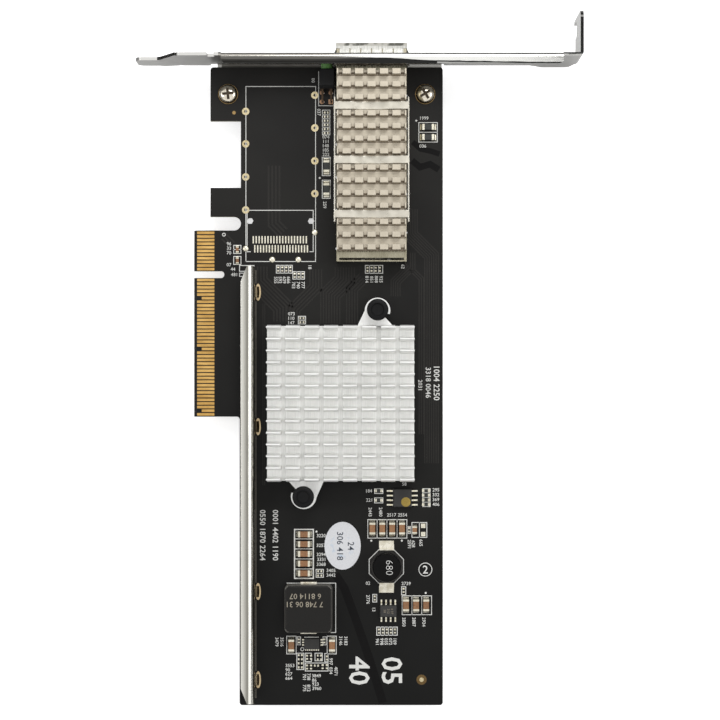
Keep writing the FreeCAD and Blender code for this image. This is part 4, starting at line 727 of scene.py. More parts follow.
def field_tree():
    """Copies of one stamp in columns and rows about a centre."""
    tree, entry, leave = new_tree("stamped_field", Geometry="Geometry", Columns="Int", Rows="Int",
                                  Width="Float", Length="Float", Centre="Vector", Stamp="Object",
                                  Finish="Material")
    grid = tree.nodes.new("GeometryNodeMeshGrid")
    move = tree.nodes.new("GeometryNodeTransform")
    stamp = tree.nodes.new("GeometryNodeObjectInfo")
    copy = tree.nodes.new("GeometryNodeInstanceOnPoints")
    join_all(tree, (entry.outputs["Columns"], grid.inputs["Vertices X"]),
             (entry.outputs["Rows"], grid.inputs["Vertices Y"]),
             (entry.outputs["Width"], grid.inputs["Size X"]),
             (entry.outputs["Length"], grid.inputs["Size Y"]),
             (grid.outputs["Mesh"], move.inputs["Geometry"]),
             (entry.outputs["Centre"], move.inputs["Translation"]),
             (entry.outputs["Stamp"], stamp.inputs["Object"]), (move.outputs[0], copy.inputs["Points"]),
             (stamp.outputs["Geometry"], copy.inputs["Instance"]))
    return close_tree(tree, copy.outputs[0], entry, leave)


def coil_tree():
    """Round wire wound along a helix."""
    tree, entry, leave = new_tree("wire_coil", Geometry="Geometry", Turns="Float", Radius="Float",
                                  Rise="Float", Wire_radius="Float", Steps_a_turn="Int", Finish="Material")
    spiral = tree.nodes.new("GeometryNodeCurveSpiral")
    circle = tree.nodes.new("GeometryNodeCurvePrimitiveCircle")
    sweep = tree.nodes.new("GeometryNodeCurveToMesh")
    circle.inputs["Resolution"].default_value = 10
    sweep.inputs["Fill Caps"].default_value = True
    join_all(tree, (entry.outputs["Steps a turn"], spiral.inputs["Resolution"]),
             (entry.outputs["Turns"], spiral.inputs["Rotations"]),
             (entry.outputs["Radius"], spiral.inputs["Start Radius"]),
             (entry.outputs["Radius"], spiral.inputs["End Radius"]),
             (entry.outputs["Rise"], spiral.inputs["Height"]),
             (entry.outputs["Wire radius"], circle.inputs["Radius"]),
             (spiral.outputs[0], sweep.inputs["Curve"]), (circle.outputs[0], sweep.inputs["Profile Curve"]))
    return close_tree(tree, sweep.outputs[0], entry, leave)


PLACED_COPIES = copies_tree()
STAMPED_FIELD = field_tree()
WIRE_COIL = coil_tree()


def grown(tree, host, **values):
    """Plain mesh that a tree makes on a host mesh; keys are the inputs' names in snake case."""
    holder = linked("holder", host)
    modifier = holder.modifiers.new("tree", "NODES")
    modifier.node_group = tree
    for item in tree.interface.items_tree:
        key = item.name.lower().replace(" ", "_")
        if item.in_out == "INPUT" and key in values:
            modifier[item.identifier] = values[key]
    return evaluated(holder)


def copies(shape, places, finish):
    """Mesh of copies of a stamp at (x, y, z, turn in degrees)."""
    stamp = linked("stamp", mesh_of("stamp", shape))
    host = bpy.data.meshes.new("places")
    host.from_pydata([(x * MM, y * MM, z * MM) for x, y, z, _ in places], [], [])
    turns = host.attributes.new("turn", "FLOAT", "POINT")
    turns.data.foreach_set("value", [math.radians(turn) for _, _, _, turn in places])
    mesh = grown(PLACED_COPIES, host, stamp=stamp, finish=finish)
    bpy.data.objects.remove(stamp)
    return mesh


def settle_copies(name, shape, places, finish, replaced=(), smooth=None):
    """A finished piece made of copies of a stamp."""
    settle_mesh(name, copies(shape, places, finish), finish, replaced, smooth)


def on_board(places):
    """Places on the board's top for stamps that aren't turned."""
    return [(x, y, BOARD_TOP, 0) for x, y in places]


def field(shape, columns, rows, width, length, centre, finish):
    """Mesh of a stamp repeated over a field; sizes in millimetres."""
    stamp = linked("stamp", mesh_of("stamp", shape))
    mesh = grown(STAMPED_FIELD, bpy.data.meshes.new("field"), columns=columns, rows=rows, width=width * MM,
                 length=length * MM, centre=[value * MM for value in centre], stamp=stamp, finish=finish)
    bpy.data.objects.remove(stamp)
    return mesh


def gathered(*meshes):
    """One mesh from several."""
    shape = bmesh.new()
    for mesh in meshes:
        shape.from_mesh(mesh)
    whole = bpy.data.meshes.new("gathered")
    shape.to_mesh(whole)
    shape.free()
    return whole


# ---- chip parts: long side, wide side, height, end ----
SIZE_1206 = (3.2, 1.6, 1.6, 0.55)
SIZE_1206_LOW = (3.2, 1.6, 0.9, 0.6)
SIZE_0805 = (2.0, 1.25, 1.2, 0.4)
SIZE_0603 = (1.6, 0.8, 0.5, 0.3)
SIZE_0402 = (1.0, 0.55, 0.35, 0.25)
CHIP_INSET = 0.03


def lined_up(rows):
    """Single places from rows: size, x, y, turn and, for several, how many, step in x, step in y."""
    places = []
    for size, x, y, turn, *more in rows:
        count, step_x, step_y = more or (1, 0, 0)
        places += [(size, x + step_x * index, y + step_y * index, turn) for index in range(count)]
    return places


CAPACITORS = lined_up((
    (SIZE_1206, 49.1, -69.9, 90, 4, 2.72, 0), (SIZE_1206, 58.35, -91.0, 90, 3, 2.77, 0),
    (SIZE_1206, 30.3, -71.5, 0, 5, 0, -2.68), (SIZE_1206, 26.8, -102.05, 90, 2, 11.2, 0),
    (SIZE_0805, 60.75, -70.3, 90), (SIZE_0603, 11.9, 6.9, 90), (SIZE_0603, 11.9, 3.85, 90),
))
RESISTORS = lined_up((
    (SIZE_1206_LOW, 64.45, 40.6, 0, 2, 0, -2.8), (SIZE_1206_LOW, 36.45, 29.8, 90, 2, 0, -6.3),
    (SIZE_0603, 50.8, -59.55, 0, 2, 0, -2.6), (SIZE_0603, 63.9, -59.5, 0, 4, 0, -1.28),
    (SIZE_0402, 59.2, -70.3, 90), (SIZE_0402, 49.75, -89.1, 90), (SIZE_0402, 57.7, -87.0, 90),
    (SIZE_0402, 50.9, -98.2, 90, 5, 1.1, 0), (SIZE_0402, 28.85, -100.9, 90, 2, 7.0, 0),
    (SIZE_0402, 29.25, -104.8, 0, 4, 0, -1.13), (SIZE_0402, 31.1, -105.4, 90, 2, 1.1, 0),
    (SIZE_0402, 34.5, -104.9, 0, 2, 0, -1.1), (SIZE_0402, 36.6, -105.6, 90),
    (SIZE_0402, 31.1, -108.1, 90, 2, 1.1, 0), (SIZE_0402, 33.7, -107.7, 0),
    (SIZE_0402, 35.4, -108.0, 90, 2, 1.15, 0), (SIZE_0402, 23.15, 1.5, 90, 4, 1.12, 0),
    (SIZE_0402, 27.7, -0.25, 90, 3, 1.12, 0), (SIZE_0402, 29.7, -12.0, 0, 2, 0, -1.15),
    (SIZE_0402, 47.75, 1.45, 90, 4, 1.13, 0), (SIZE_0402, 36.4, 44.6, 0, 6, 0, -1.13),
    (SIZE_0402, 34.6, -81.7, 0, 2, 0, -1.2),
))


def chip_body(long, wide, high, end):
    """Body between the end caps."""
    shape = bmesh.new()
    half_long, half_wide = long / 2 - end, wide / 2 - CHIP_INSET
    block(shape, -half_long, half_long, -half_wide, half_wide, CHIP_INSET, high - CHIP_INSET)
    return shape


def chip_caps(long, wide, high, end):
    """Plated end caps with softened edges."""
    shape = bmesh.new()
    for side in (-1, 1):
        near, far = sorted((side * long / 2, side * (long / 2 - end)))
        block(shape, near, far, -wide / 2, wide / 2, 0, high)
    bevelled(shape, min(end, high) * 0.22)
    return shape


def chip_solder(long, wide, high, _):
    """Solder drawn up the end caps from pads that reach past them."""
    shape = bmesh.new()
    for side in (-1, 1):
        wall, reach = side * long / 2, side * (0.2 * long - 0.04)
        profile = ((wall + reach, 0), (wall + reach, 0.05), (wall + reach * 0.35, high * 0.2),
                   (wall, high * 0.62), (wall, 0))
        bar(shape, profile, wide * 0.48)
    return shape


def chip_copies(form, places, finish):
    """Mesh of a form made for each size and copied to the places of that size."""
    sizes = {}
    for size, x, y, turn in places:
        sizes.setdefault(size, []).append((x, y, BOARD_TOP, turn))
    return gathered(*[copies(form(*size), spots, finish) for size, spots in sizes.items()])


def chip_parts():
    """Bodies, end caps and solder of the capacitors and resistors."""
    for name, places, finish, slot in (("capacitor", CAPACITORS, CERAMIC, "capacitor_brown"),
                                       ("resistor", RESISTORS, GLAZE, "resistor_black")):
        settle_mesh(name + "s_dressed", chip_copies(chip_body, places, finish), finish, (name + "s",))
        caps = chip_copies(chip_caps, places, TIN)
        settle_mesh(name + "_ends_dressed", caps, TIN, (name + "_ends",), 40)
    joints = chip_copies(chip_solder, CAPACITORS + RESISTORS, TIN)
    settle_mesh("chip_solder_joints", joints, TIN, (), 50)


# ---- copper under the mask ----
TRACE_RISE, SPLIT_RISE = 0.008, 0.006

# paths of bundles, with how many traces and their pitch
TRACE_BUNDLES = (
    (((17.5, 2.2), (17.5, -2.0), (24.5, -9.0), (24.5, -13.0)), 7, 0.85),
    (((33.5, 1.5), (33.5, -3.5), (27.5, -9.5), (27.5, -13.0)), 5, 0.8),
    (((41.5, 2.0), (41.5, -1.5), (37.5, -5.5), (37.5, -13.5)), 8, 0.75),
    (((46.5, -1.0), (43.5, -4.0), (43.5, -13.5)), 5, 0.75),
    (((59.6, 18.0), (59.6, 11.0), (65.4, 5.2), (65.4, -52.0)), 7, 0.62),
    (((60.2, 6.0), (60.2, 1.2), (62.6, -1.2), (62.6, -44.0)), 3, 0.62),
    (((59.5, 2.0), (55.5, -2.0), (55.5, -6.0)), 5, 0.62),
    (((22.0, 30.0), (22.0, 14.0), (24.5, 11.5)), 4, 1.0),
    (((8.2, 10.5), (10.5, 8.2)), 3, 0.9),
    (((19.2, -8.0), (19.2, -58.0)), 2, 0.5),
)

# paths of the gaps between copper areas, with their width
COPPER_SPLITS = (
    (((38.9, -82.6), (41.4, -86.4), (44.9, -96.0), (48.2, -105.6), (52.0, -118.0)), 2.3),
    (((60.2, 36.5), (62.4, 34.6), (65.2, 34.0), (67.6, 33.2)), 1.5),
    (((60.0, 31.4), (62.2, 29.6), (65.0, 30.4), (67.4, 28.9)), 1.8),
)


def copper_under_mask():
    """Traces and splits that show through the mask."""
    shape = bmesh.new()
    for path, count, pitch in TRACE_BUNDLES:
        for index in range(count):
            line = shifted(path, (index - (count - 1) / 2) * pitch)
            stroke(shape, line, pitch / 2, BOARD_TOP, BOARD_TOP + TRACE_RISE)
    settle("mask_over_traces", shape, MASK_TRACE)
    shape = bmesh.new()
    for path, width in COPPER_SPLITS:
        stroke(shape, path, width, BOARD_TOP, BOARD_TOP + SPLIT_RISE)
    settle("mask_over_splits", shape, MASK_GAP)


# ---- plated holes ----
PRESS_FIT = ((14.2, 44.95), (14.2, 36.0), (14.2, 26.9), (14.2, 17.8), (33.25, 49.4), (33.25, 40.4),
             (33.25, 31.3), (33.25, 22.3))
FILLED = ((33.25, 11.6), (14.2, 7.15), (21.5, 4.1), (28.7, 4.1))
PLATE_LOW, PLATE_HIGH = BOARD_TOP, BOARD_TOP + PLATE_THICK
PRESS_RING, PRESS_HOLE = 1.02, 0.42
SCREW_RADIUS, SCREW_RING, SCREW_RING_HOLE = 2.65, 2.74, 1.9
DOT_X, DOT_Y, DOT_RADIUS = 11.0, 44.6, 0.5
SPARE_X, SPARE_Y = 62.65, -111.6
SPARE_RING, SPARE_SLEEVE, SPARE_HOLE = 1.4, 0.6, 0.42
SLOT_X = 17.62
SLOT_RING, SLOT_HOLE, SLOT_PLUG = (0.76, 2.34), (0.36, 1.6), (0.4, 1.7)
SLOT_PLACES = (-4.85, -41.9, -87.3, -111.6)
# painted shade: the grey strip along the rail's foot, its sides, height, ends and gap round each slot
FOOT_SHADE_LEFT, FOOT_SHADE_RIGHT, FOOT_SHADE_HIGH = 16.8, 17.2, 0.3
FOOT_SHADE_FRONT, FOOT_SHADE_REAR = 1.2, -116.6
FOOT_SHADE_OFF_SLOT = 2.4


def press_fit_holes():
    """Plated holes of the spare port: open rings over dull plugs, and holes closed by solder."""
    sleeve, plug, dome = bmesh.new(), bmesh.new(), bmesh.new()
    band(sleeve, 0, 0, PRESS_RING, PRESS_HOLE, -0.03, PLATE_THICK, 24)
    band(sleeve, 0, 0, PRESS_HOLE, PRESS_HOLE - 0.02, -1.5, 0.0, 24)
    disc(plug, 0, 0, PRESS_HOLE - 0.01, -0.5, -0.3, 20)
    lathe(dome, [(0, 0), (0.86, 0), (0.86, 0.05), (0.6, 0.2), (0.3, 0.27), (0, 0.28)], 0, 0, 20)
    settle_copies("press_fit_rings", sleeve, on_board(PRESS_FIT), RING_GOLD, (), 40)
    settle_copies("press_fit_plugs", plug, on_board(PRESS_FIT), SLOT_FILL)
    settle_copies("filled_hole_solder", dome, on_board(FILLED), TIN, (), 60)


def screw_places():
    """Middles of the two bracket screws."""
    low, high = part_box("bracket_screws")
    y = (low.y + high.y) / 2 / MM
    return ((low.x / MM + SCREW_RADIUS, y), (high.x / MM - SCREW_RADIUS, y))


def screw_rings():
    """Plated rings round the bracket screws and a small plated dot beside one."""
    shape = bmesh.new()
    for x, y in screw_places():
        band(shape, x, y, SCREW_RING, SCREW_RING_HOLE, PLATE_LOW, PLATE_HIGH)
    disc(shape, DOT_X, DOT_Y, DOT_RADIUS, PLATE_LOW, PLATE_HIGH, 20)
    settle("screw_rings", shape, SCREW_GOLD)


def spare_hole():
    """Plated hole at the rear with its ring."""
    shape = bmesh.new()
    band(shape, SPARE_X, SPARE_Y, SPARE_SLEEVE, SPARE_HOLE, BOARD_BOTTOM, PLATE_HIGH)
    disc(shape, SPARE_X, SPARE_Y, SPARE_HOLE - 0.01, PLATE_LOW - 0.3, PLATE_LOW - 0.1, 20)
    settle("spare_hole_sleeve", shape, RING_GOLD)
    shape = bmesh.new()
    band(shape, SPARE_X, SPARE_Y, SPARE_RING, SPARE_SLEEVE, PLATE_LOW, PLATE_HIGH)
    settle("spare_hole_ring", shape, SPARE_GOLD)


def rail_slots():
    """Plated slots of the rail's tabs, and a grey strip of painted shade between them along the rail's foot,
    standing in for the web's shaded side.
    """
    rings, fills, bead = bmesh.new(), bmesh.new(), bmesh.new()
    for y in SLOT_PLACES:
        outer, inner = oval_points(SLOT_X, y, *SLOT_RING), oval_points(SLOT_X, y, *SLOT_HOLE)
        ring(rings, outer, inner, PLATE_LOW, PLATE_HIGH + 0.01)
        slab(fills, oval_points(SLOT_X, y, *SLOT_PLUG), PLATE_LOW, PLATE_LOW + 0.03)
    ends = [FOOT_SHADE_FRONT] + [y + side * FOOT_SHADE_OFF_SLOT for y in SLOT_PLACES for side in (1, -1)] + [FOOT_SHADE_REAR]
    for front, rear in zip(ends[::2], ends[1::2]):
        block(bead, FOOT_SHADE_LEFT, FOOT_SHADE_RIGHT, rear, front, PLATE_LOW, PLATE_LOW + FOOT_SHADE_HIGH)
    settle("slot_rings", rings, SLOT_GOLD)
    settle("slot_fills", fills, SLOT_FILL)
    settle("rail_bead", bead, RAIL_FOOT_SHADE)


# ---- white print ----
FRAME_LINE = 0.2
# frames round places of parts: from x, to x, from y, to y
FRAMES = (
    (35.24, 37.5, 38.4, 45.4), (35.2, 37.6, 27.15, 32.4), (35.2, 37.6, 20.9, 26.1),
    (61.8, 67.1, 36.4, 41.97), (10.8, 13.0, 5.7, 8.15), (10.8, 13.0, 2.7, 5.1), (12.4, 16.6, 0.8, 2.6),
    (12.4, 14.2, -0.6, 0.5), (22.55, 27.15, 0.3, 2.65), (27.1, 30.5, -1.35, 0.9),
    (28.6, 30.8, -13.7, -11.4), (47.06, 52.05, 0.26, 2.63), (49.6, 52.1, -60.4, -58.9),
    (49.6, 52.1, -63.0, -61.4), (62.9, 65.1, -64.0, -58.9), (47.75, 58.7, -72.7, -67.4),
    (58.8, 59.7, -71.4, -69.3), (59.9, 64.2, -72.5, -68.2), (33.5, 35.7, -83.5, -81.1),
    (25.4, 28.2, -104.6, -99.5), (36.55, 39.25, -104.6, -99.5), (28.3, 29.4, -102.1, -99.7),
    (35.4, 36.5, -102.1, -99.7), (28.2, 30.3, -108.9, -104.2), (30.5, 32.4, -106.7, -104.2),
    (33.2, 35.4, -106.5, -104.2), (35.9, 37.0, -106.8, -104.3), (30.5, 37.0, -109.3, -106.9),
    (57.2, 65.5, -93.8, -88.4), (49.1, 50.4, -90.3, -88.0), (57.05, 58.4, -88.3, -85.9),
    (50.2, 56.05, -99.45, -97.0),
)
# lines inside the frames: from x, to x, each y
LEVEL_LINES = (
    (61.8, 67.1, (39.2,)), (63.0, 65.1, (-60.1, -61.4, -62.7)),
    (35.24, 37.5, (44.0, 42.9, 41.75, 40.6, 39.5)), (10.8, 13.0, (6.9,)), (28.6, 30.8, (-12.55,)),
    (33.5, 35.7, (-82.3,)),
)
# from y, to y, each x
UPRIGHT_LINES = (
    (-72.7, -67.4, (50.4, 53.1, 55.9)), (-72.5, -68.2, (62.05,)), (-93.8, -88.4, (60.0, 62.7)),
    (-99.45, -97.0, (51.35, 52.45, 53.55, 54.7)), (0.3, 2.65, (23.7, 24.85, 26.0)),
    (-1.35, 0.9, (28.25, 29.4)), (0.26, 2.63, (48.3, 49.55, 50.8)),
)
PATHS = (
    ((14.26, 3.6), (14.26, 51.8), (33.45, 51.8), (33.45, 3.6), (14.26, 3.6)),
    ((15.6, 6.3), (14.6, 6.3), (14.6, 17.7), (32.8, 17.7), (32.8, 6.3), (31.8, 6.3)),
    ((34.3, 56.0), (34.3, 46.5), (38.7, 46.5), (38.7, 56.0)),
    ((25.5, -85.0), (39.0, -85.0), (39.0, -98.6), (37.6, -98.6)),
    ((30.3, -99.9), (34.3, -99.9)),
)
DOTS = ((48.8, -73.3), (57.2, -73.3), (33.7, -70.8), (63.8, -87.7), (34.6, 26.6), (61.2, 42.4))
CIRCLES = ((63.7, -81.25, 1.9), (29.8, -103.2, 0.55), (8.2, 11.0, 0.5))
LADDER_LEFT, LADDER_RIGHT, LADDER_FRONT, LADDER_STEP = 27.5, 33.0, -70.05, 2.76
LADDER_LINE, LADDER_RUNG = 0.32, 0.24
DRUM_FRAME = (52.95, -80.4, 5.24)


def capacitor_ladder(shape, low, high):
    """Thick frame with rungs round the column of five capacitors."""
    rear = LADDER_FRONT - 5 * LADDER_STEP
    outline(shape, LADDER_LEFT, LADDER_RIGHT, rear, LADDER_FRONT, LADDER_LINE, low, high)
    left, right, half = LADDER_LEFT + 0.3, LADDER_RIGHT - 0.3, LADDER_RUNG / 2
    for rung in range(1, 5):
        y = LADDER_FRONT - rung * LADDER_STEP
        block(shape, left, right, y - half, y + half, low, high)


def white_print():
    """White lines, dots and circles on the mask."""
    low, high = BOARD_TOP, BOARD_TOP + PRINT_THICK
    shape = bmesh.new()
    for x0, x1, y0, y1 in FRAMES:
        outline(shape, x0, x1, y0, y1, FRAME_LINE, low, high)
    lines = [((x0, y), (x1, y)) for x0, x1, ys in LEVEL_LINES for y in ys]
    lines += [((x, y0), (x, y1)) for y0, y1, xs in UPRIGHT_LINES for x in xs]
    for path in (*lines, *PATHS):
        stroke(shape, path, FRAME_LINE, low, high)
    for x, y in DOTS:
        disc(shape, x, y, 0.28, low, high, 12)
    for x, y, radius in CIRCLES:
        band(shape, x, y, radius, radius - FRAME_LINE, low, high, 32)
    capacitor_ladder(shape, low, high)
    x, y, radius = DRUM_FRAME
    band(shape, x, y, radius, radius - 0.24, low, high, 8, math.pi / 8)
    settle("print_outlines", shape, PRINT)


# rows of short plain numbers: digits, x, y, 1 where they read downwards and, for several, how many, step in x
# and step in y
LABEL_ROWS = (
    (2, 32.8, 53.5, 1), (3, 34.4, 44.7, 1), (3, 36.3, 37.9, 0, 5, 0, -1.2), (3, 36.0, 19.2, 1),
    (2, 9.6, 8.5, 0, 3, 0, -1.25), (2, 9.6, 2.7, 0), (2, 10.7, 1.5, 0), (3, 11.0, 0.0, 0),
    (2, 31.9, 2.0, 1), (3, 22.5, -1.5, 1, 4, 1.18, 0), (3, 27.4, -2.9, 1, 3, 1.3, 0),
    (3, 47.6, -1.3, 1, 4, 1.3, 0), (2, 57.5, 2.2, 1), (4, 63.4, 43.1, 0), (3, 63.0, 35.4, 0),
    (3, 26.8, -10.8, 0, 3, 0, -1.25), (3, 48.2, -59.6, 0, 2, 0, -2.5), (2, 57.9, -57.7, 0),
    (3, 66.6, -59.3, 0, 4, 0, -1.33), (4, 48.5, -65.4, 1, 2, 2.9, 0), (4, 54.4, -66.2, 0, 2, 3.0, 0),
    (4, 59.3, -74.2, 1), (3, 60.4, -74.2, 1), (3, 62.5, -73.9, 1), (2, 47.9, -85.0, 0), (4, 58.4, -85.1, 0),
    (4, 47.9, -89.5, 1), (2, 49.5, -92.3, 1), (4, 57.8, -95.7, 1, 3, 2.75, 0),
    (3, 50.5, -101.1, 1, 5, 1.2, 0), (4, 40.4, -100.9, 1, 2, 1.4, 0), (4, 35.0, -71.9, 0, 2, 0, -2.7),
    (4, 35.0, -77.1, 0, 3, 0, -1.35), (4, 37.7, -81.5, 0, 2, 0, -1.3), (4, 22.8, -101.2, 1, 2, 1.4, 0),
    (4, 26.4, -107.7, 0), (2, 25.8, -108.9, 0), (3, 26.1, -110.0, 0, 2, 0, -1.2),
    (3, 30.4, -110.8, 1, 2, 1.2, 0), (3, 30.4, -113.9, 1, 2, 1.2, 0), (4, 33.7, -110.5, 0),
    (2, 33.1, -111.7, 0), (3, 33.4, -112.8, 0), (4, 33.8, -114.0, 0), (3, 37.7, -106.6, 1, 2, 0, -2.5),
    (4, 39.1, -109.2, 1),
)
LABEL_HIGH = 0.9
FIRST_LABEL, LABEL_STEP = 1000, 37
# how far a stroke spreads, as a share of the height
FINE, BOLD = 0.012, 0.02
DIGIT_SHARE = 0.7

# longer plain numbers: text, x, y, height, 1 where they read downwards, stroke spread
NUMBERS = (
    ("1004 2250", 66.8, -30.0, 1.6, 1, FINE), ("3318 0046", 64.5, -29.8, 1.4, 1, FINE),
    ("2031", 62.3, -30.4, 1.1, 1, FINE), ("0001 4402 1190", 22.4, -71.8, 1.5, 1, FINE),
    ("0550 1870 2264", 18.9, -71.8, 1.5, 1, FINE), ("2", 63.7, -81.25, 2.2, 0, FINE),
    ("40", 45.5, -109.1, 5.5, 1, BOLD), ("05", 54.5, -109.1, 5.5, 1, BOLD),
)


def number_mesh(text, x, y, height, turn, level, thick, weight=FINE):
    """Plain number lying on a surface, its middle at x, y; turn in degrees."""
    curve = bpy.data.curves.new("number", "FONT")
    curve.body = text
    curve.size = height / DIGIT_SHARE
    curve.resolution_u = 2
    curve.extrude = thick / 2
    curve.offset = weight * height
    mesh = evaluated(linked("number", curve))
    corners = [vert.co for vert in mesh.vertices]
    middle = [(min(co[axis] for co in corners) + max(co[axis] for co in corners)) / 2 for axis in (0, 1)]
    place = Matrix.Scale(MM, 4) @ Matrix.Translation((x, y, level + thick / 2))
    centred = Matrix.Translation((-middle[0], -middle[1], 0))
    mesh.transform(place @ Matrix.Rotation(math.radians(turn), 4, "Z") @ centred)
    return mesh


def white_numbers():
    """Plain numbers on the mask; the short ones run on from row to row."""
    meshes = [number_mesh(text, x, y, height, -90 * down, BOARD_TOP, PRINT_THICK, weight)
              for text, x, y, height, down, weight in NUMBERS]
    label = FIRST_LABEL
    for digits, x, y, down, *more in LABEL_ROWS:
        count, step_x, step_y = more or (1, 0, 0)
        for index in range(count):
            place = (x + index * step_x, y + index * step_y)
            meshes.append(number_mesh(str(label)[-digits:], *place, LABEL_HIGH, -90 * down, BOARD_TOP,
                                      PRINT_THICK))
            label += LABEL_STEP
    settle_mesh("print_numbers", gathered(*meshes), PRINT)


def top_of(node):
    """Height of a node's top in millimetres."""
    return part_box(node)[1].z / MM


def numbers_on(node, name, finish, lines, height, turn, sunk=0.002, thick=0.01, weight=FINE):
    """Lines of plain numbers, as (text, x, y), on the top of a node."""
    level = top_of(node) - sunk
    meshes = [number_mesh(text, x, y, height, turn, level, thick, weight) for text, x, y in lines]
    settle_mesh(name, gathered(*meshes), finish)


def part_numbers():
    """Plain numbers on the coils, the regulator and the label, and the memory chip's ink dot."""
    numbers_on("power_choke", "choke_numbers", ETCH,
               (("6 8114 07", 30.8, -88.1), ("7 748 06 31", 30.7, -90.3)), 1.5, 180, thick=0.014, weight=0.0)
    numbers_on("drum_core", "drum_number", PRINT, (("680", 53.75, -80.4),), 2.0, -90,
               0.012, 0.012, -0.028)
    numbers_on("regulator_chip", "regulator_numbers", FAINT_ETCH,
               (("4 07", 54.5, -92.6), ("312", 53.5, -92.6), ("58", 52.5, -92.6)), 0.65, -90)
    numbers_on("inspection_label", "label_numbers", LABEL_INK,
               (("24", 43.2, -74.8), ("306 418", 40.2, -74.8)), 1.7, -90)
    shape = bmesh.new()
    top = top_of("flash_chip")
    disc(shape, 58.3, -62.6, 1.3, top - 0.002, top + 0.01, 28)
    settle("flash_dot", shape, DOT_YELLOW)


# ---- pads of the spare port and of parts left off ----
SPARE_ROWS = ((16.3, 0.811, 9.6), (16.7, 0.806, 7.1))
SPARE_CONTACTS = 19


def pads_at(shape, places, half_x, half_y):
    """Flat pads about places."""
    for x, y in places:
        block(shape, x - half_x, x + half_x, y - half_y, y + half_y, PLATE_LOW, PLATE_HIGH)


def bare_pads():
    """Pads of the spare port, its light and a few small parts that are left off."""
    pad = bmesh.new()
    block(pad, -0.18, 0.18, -1.0, 1.0, 0, PLATE_THICK)
    places = [(x + pitch * index, y) for x, pitch, y in SPARE_ROWS for index in range(SPARE_CONTACTS)]
    settle_copies("spare_port_pads", pad, on_board(places), TIN)
    shape = bmesh.new()
    for x, y in ((35.2, 50.1), (35.2, 47.6), (37.6, 50.1)):
        disc(shape, x, y, 0.62, PLATE_LOW, PLATE_HIGH)
    pads_at(shape, ((37.65, 47.6),), 0.65, 0.65)
    settle("led_pads", shape, COPPER_PAD)
    shape = bmesh.new()
    pads_at(shape, ((63.1, -69.2), (63.1, -71.5)), 0.6, 0.6)
    pads_at(shape, [(x, -100.6 - 0.72 * index) for index in range(3) for x in (30.1, 35.2)], 0.35, 0.18)
    pads_at(shape, [(30.75 + 0.5 * index, -103.275) for index in range(8)], 0.14, 0.325)
    settle("bare_solder_pads", shape, TIN)


# ---- hardware ----
SCREW_TURNS = (0.1, 0.55)
CROSS_ARM, CROSS_HALF, CROSS_UP = 1.6, 0.36, 0.9
PUSH_PLACES = ((50.5, -10.1), (30.3, -60.9))
SPRING_RADIUS, SPRING_WIRE = 2.05, 0.26


def cross_points(x, y, arm, half, turn):
    """Corners of a cross, anticlockwise."""
    middle = Vector((x, y))
    points = []
    for quarter in range(4):
        angle = turn + quarter * math.pi / 2
        along = Vector((math.cos(angle), math.sin(angle)))
        across = Vector((-along.y, along.x))
        points += [middle + along * arm - across * half, middle + along * arm + across * half,
                   middle + along * half + across * half]
    return points


def screws():
    """Pan heads with a cross recess on the bracket's ears, tips under the board, and dark recess floors of
    painted shade.
    """
    low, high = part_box("bracket_screws")
    base, top, tip = BOARD_TOP, high.z / MM, low.z / MM
    meshes = []
    floors = bmesh.new()
    for (x, y), turn in zip(screw_places(), SCREW_TURNS):
        head, cutter = bmesh.new(), bmesh.new()
        lathe(head, [(0, tip), (1.0, tip), (1.4, tip + 0.4), (1.4, base + 0.01), (2.45, base + 0.01),
                     (2.6, base + 0.15), (2.62, base + 0.5), (2.5, base + 0.95), (2.25, base + 1.3),
                     (1.85, base + 1.6), (1.35, base + 1.8), (0.8, top - 0.01), (0, top)], x, y)
        slab(cutter, cross_points(x, y, CROSS_ARM, CROSS_HALF, turn), base + CROSS_UP, top + 1)
        # painted shade: a dark floor in each cross recess
        slab(floors, cross_points(x, y, CROSS_ARM - 0.02, CROSS_HALF - 0.02, turn), base + CROSS_UP - 0.05,
             base + CROSS_UP + 0.05)
        meshes.append(carved(head, cutter))
    settle_mesh("bracket_screws_dressed", gathered(*meshes), SCREW, ("bracket_screws",), 35)
    settle("screw_recess_floors", floors, SCREW_RECESS_SHADE)


def push_pins():
    """Black pins with a stepped head and a barb."""
    low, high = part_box("push_pins")
    tip, top = low.z / MM, high.z / MM
    shape = bmesh.new()
    for x, y in PUSH_PLACES:
        lathe(shape, [(0, tip), (0.9, tip), (1.84, tip + 1.3), (1.38, tip + 1.9), (1.38, top - 1.6),
                      (2.85, top - 1.6), (2.94, top - 1.4), (2.94, top - 0.35), (2.75, top - 0.12),
                      (2.45, top), (1.75, top), (1.6, top - 0.35), (0, top - 0.42)], x, y)
    settle("push_pins_dressed", shape, BLACK_MOULDED, ("push_pins",), 35)


def coil(turns, radius, wire, node, steps, finish):
    """Mesh of a wire coil as high as a node, its foot at the node's."""
    low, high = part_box(node)
    rise = high.z - low.z - 2 * wire * MM
    mesh = grown(WIRE_COIL, bpy.data.meshes.new("coil"), turns=turns, radius=(radius - wire) * MM, rise=rise,
                 wire_radius=wire * MM, steps_a_turn=steps, finish=finish)
    mesh.transform(Matrix.Translation((0, 0, low.z + wire * MM)))
    return mesh


def push_springs():
    """Springs between the pins' heads and the heatsink's ears."""
    mesh = coil(5.0, SPRING_RADIUS, SPRING_WIRE, "push_pin_springs", 28, CLIP)
    meshes = []
    for x, y in PUSH_PLACES:
        copy = mesh.copy()
        copy.transform(Matrix.Translation((x * MM, y * MM, 0)))
        meshes.append(copy)
    settle_mesh("push_pin_springs_dressed", gathered(*meshes), CLIP, ("push_pin_springs",), 60)


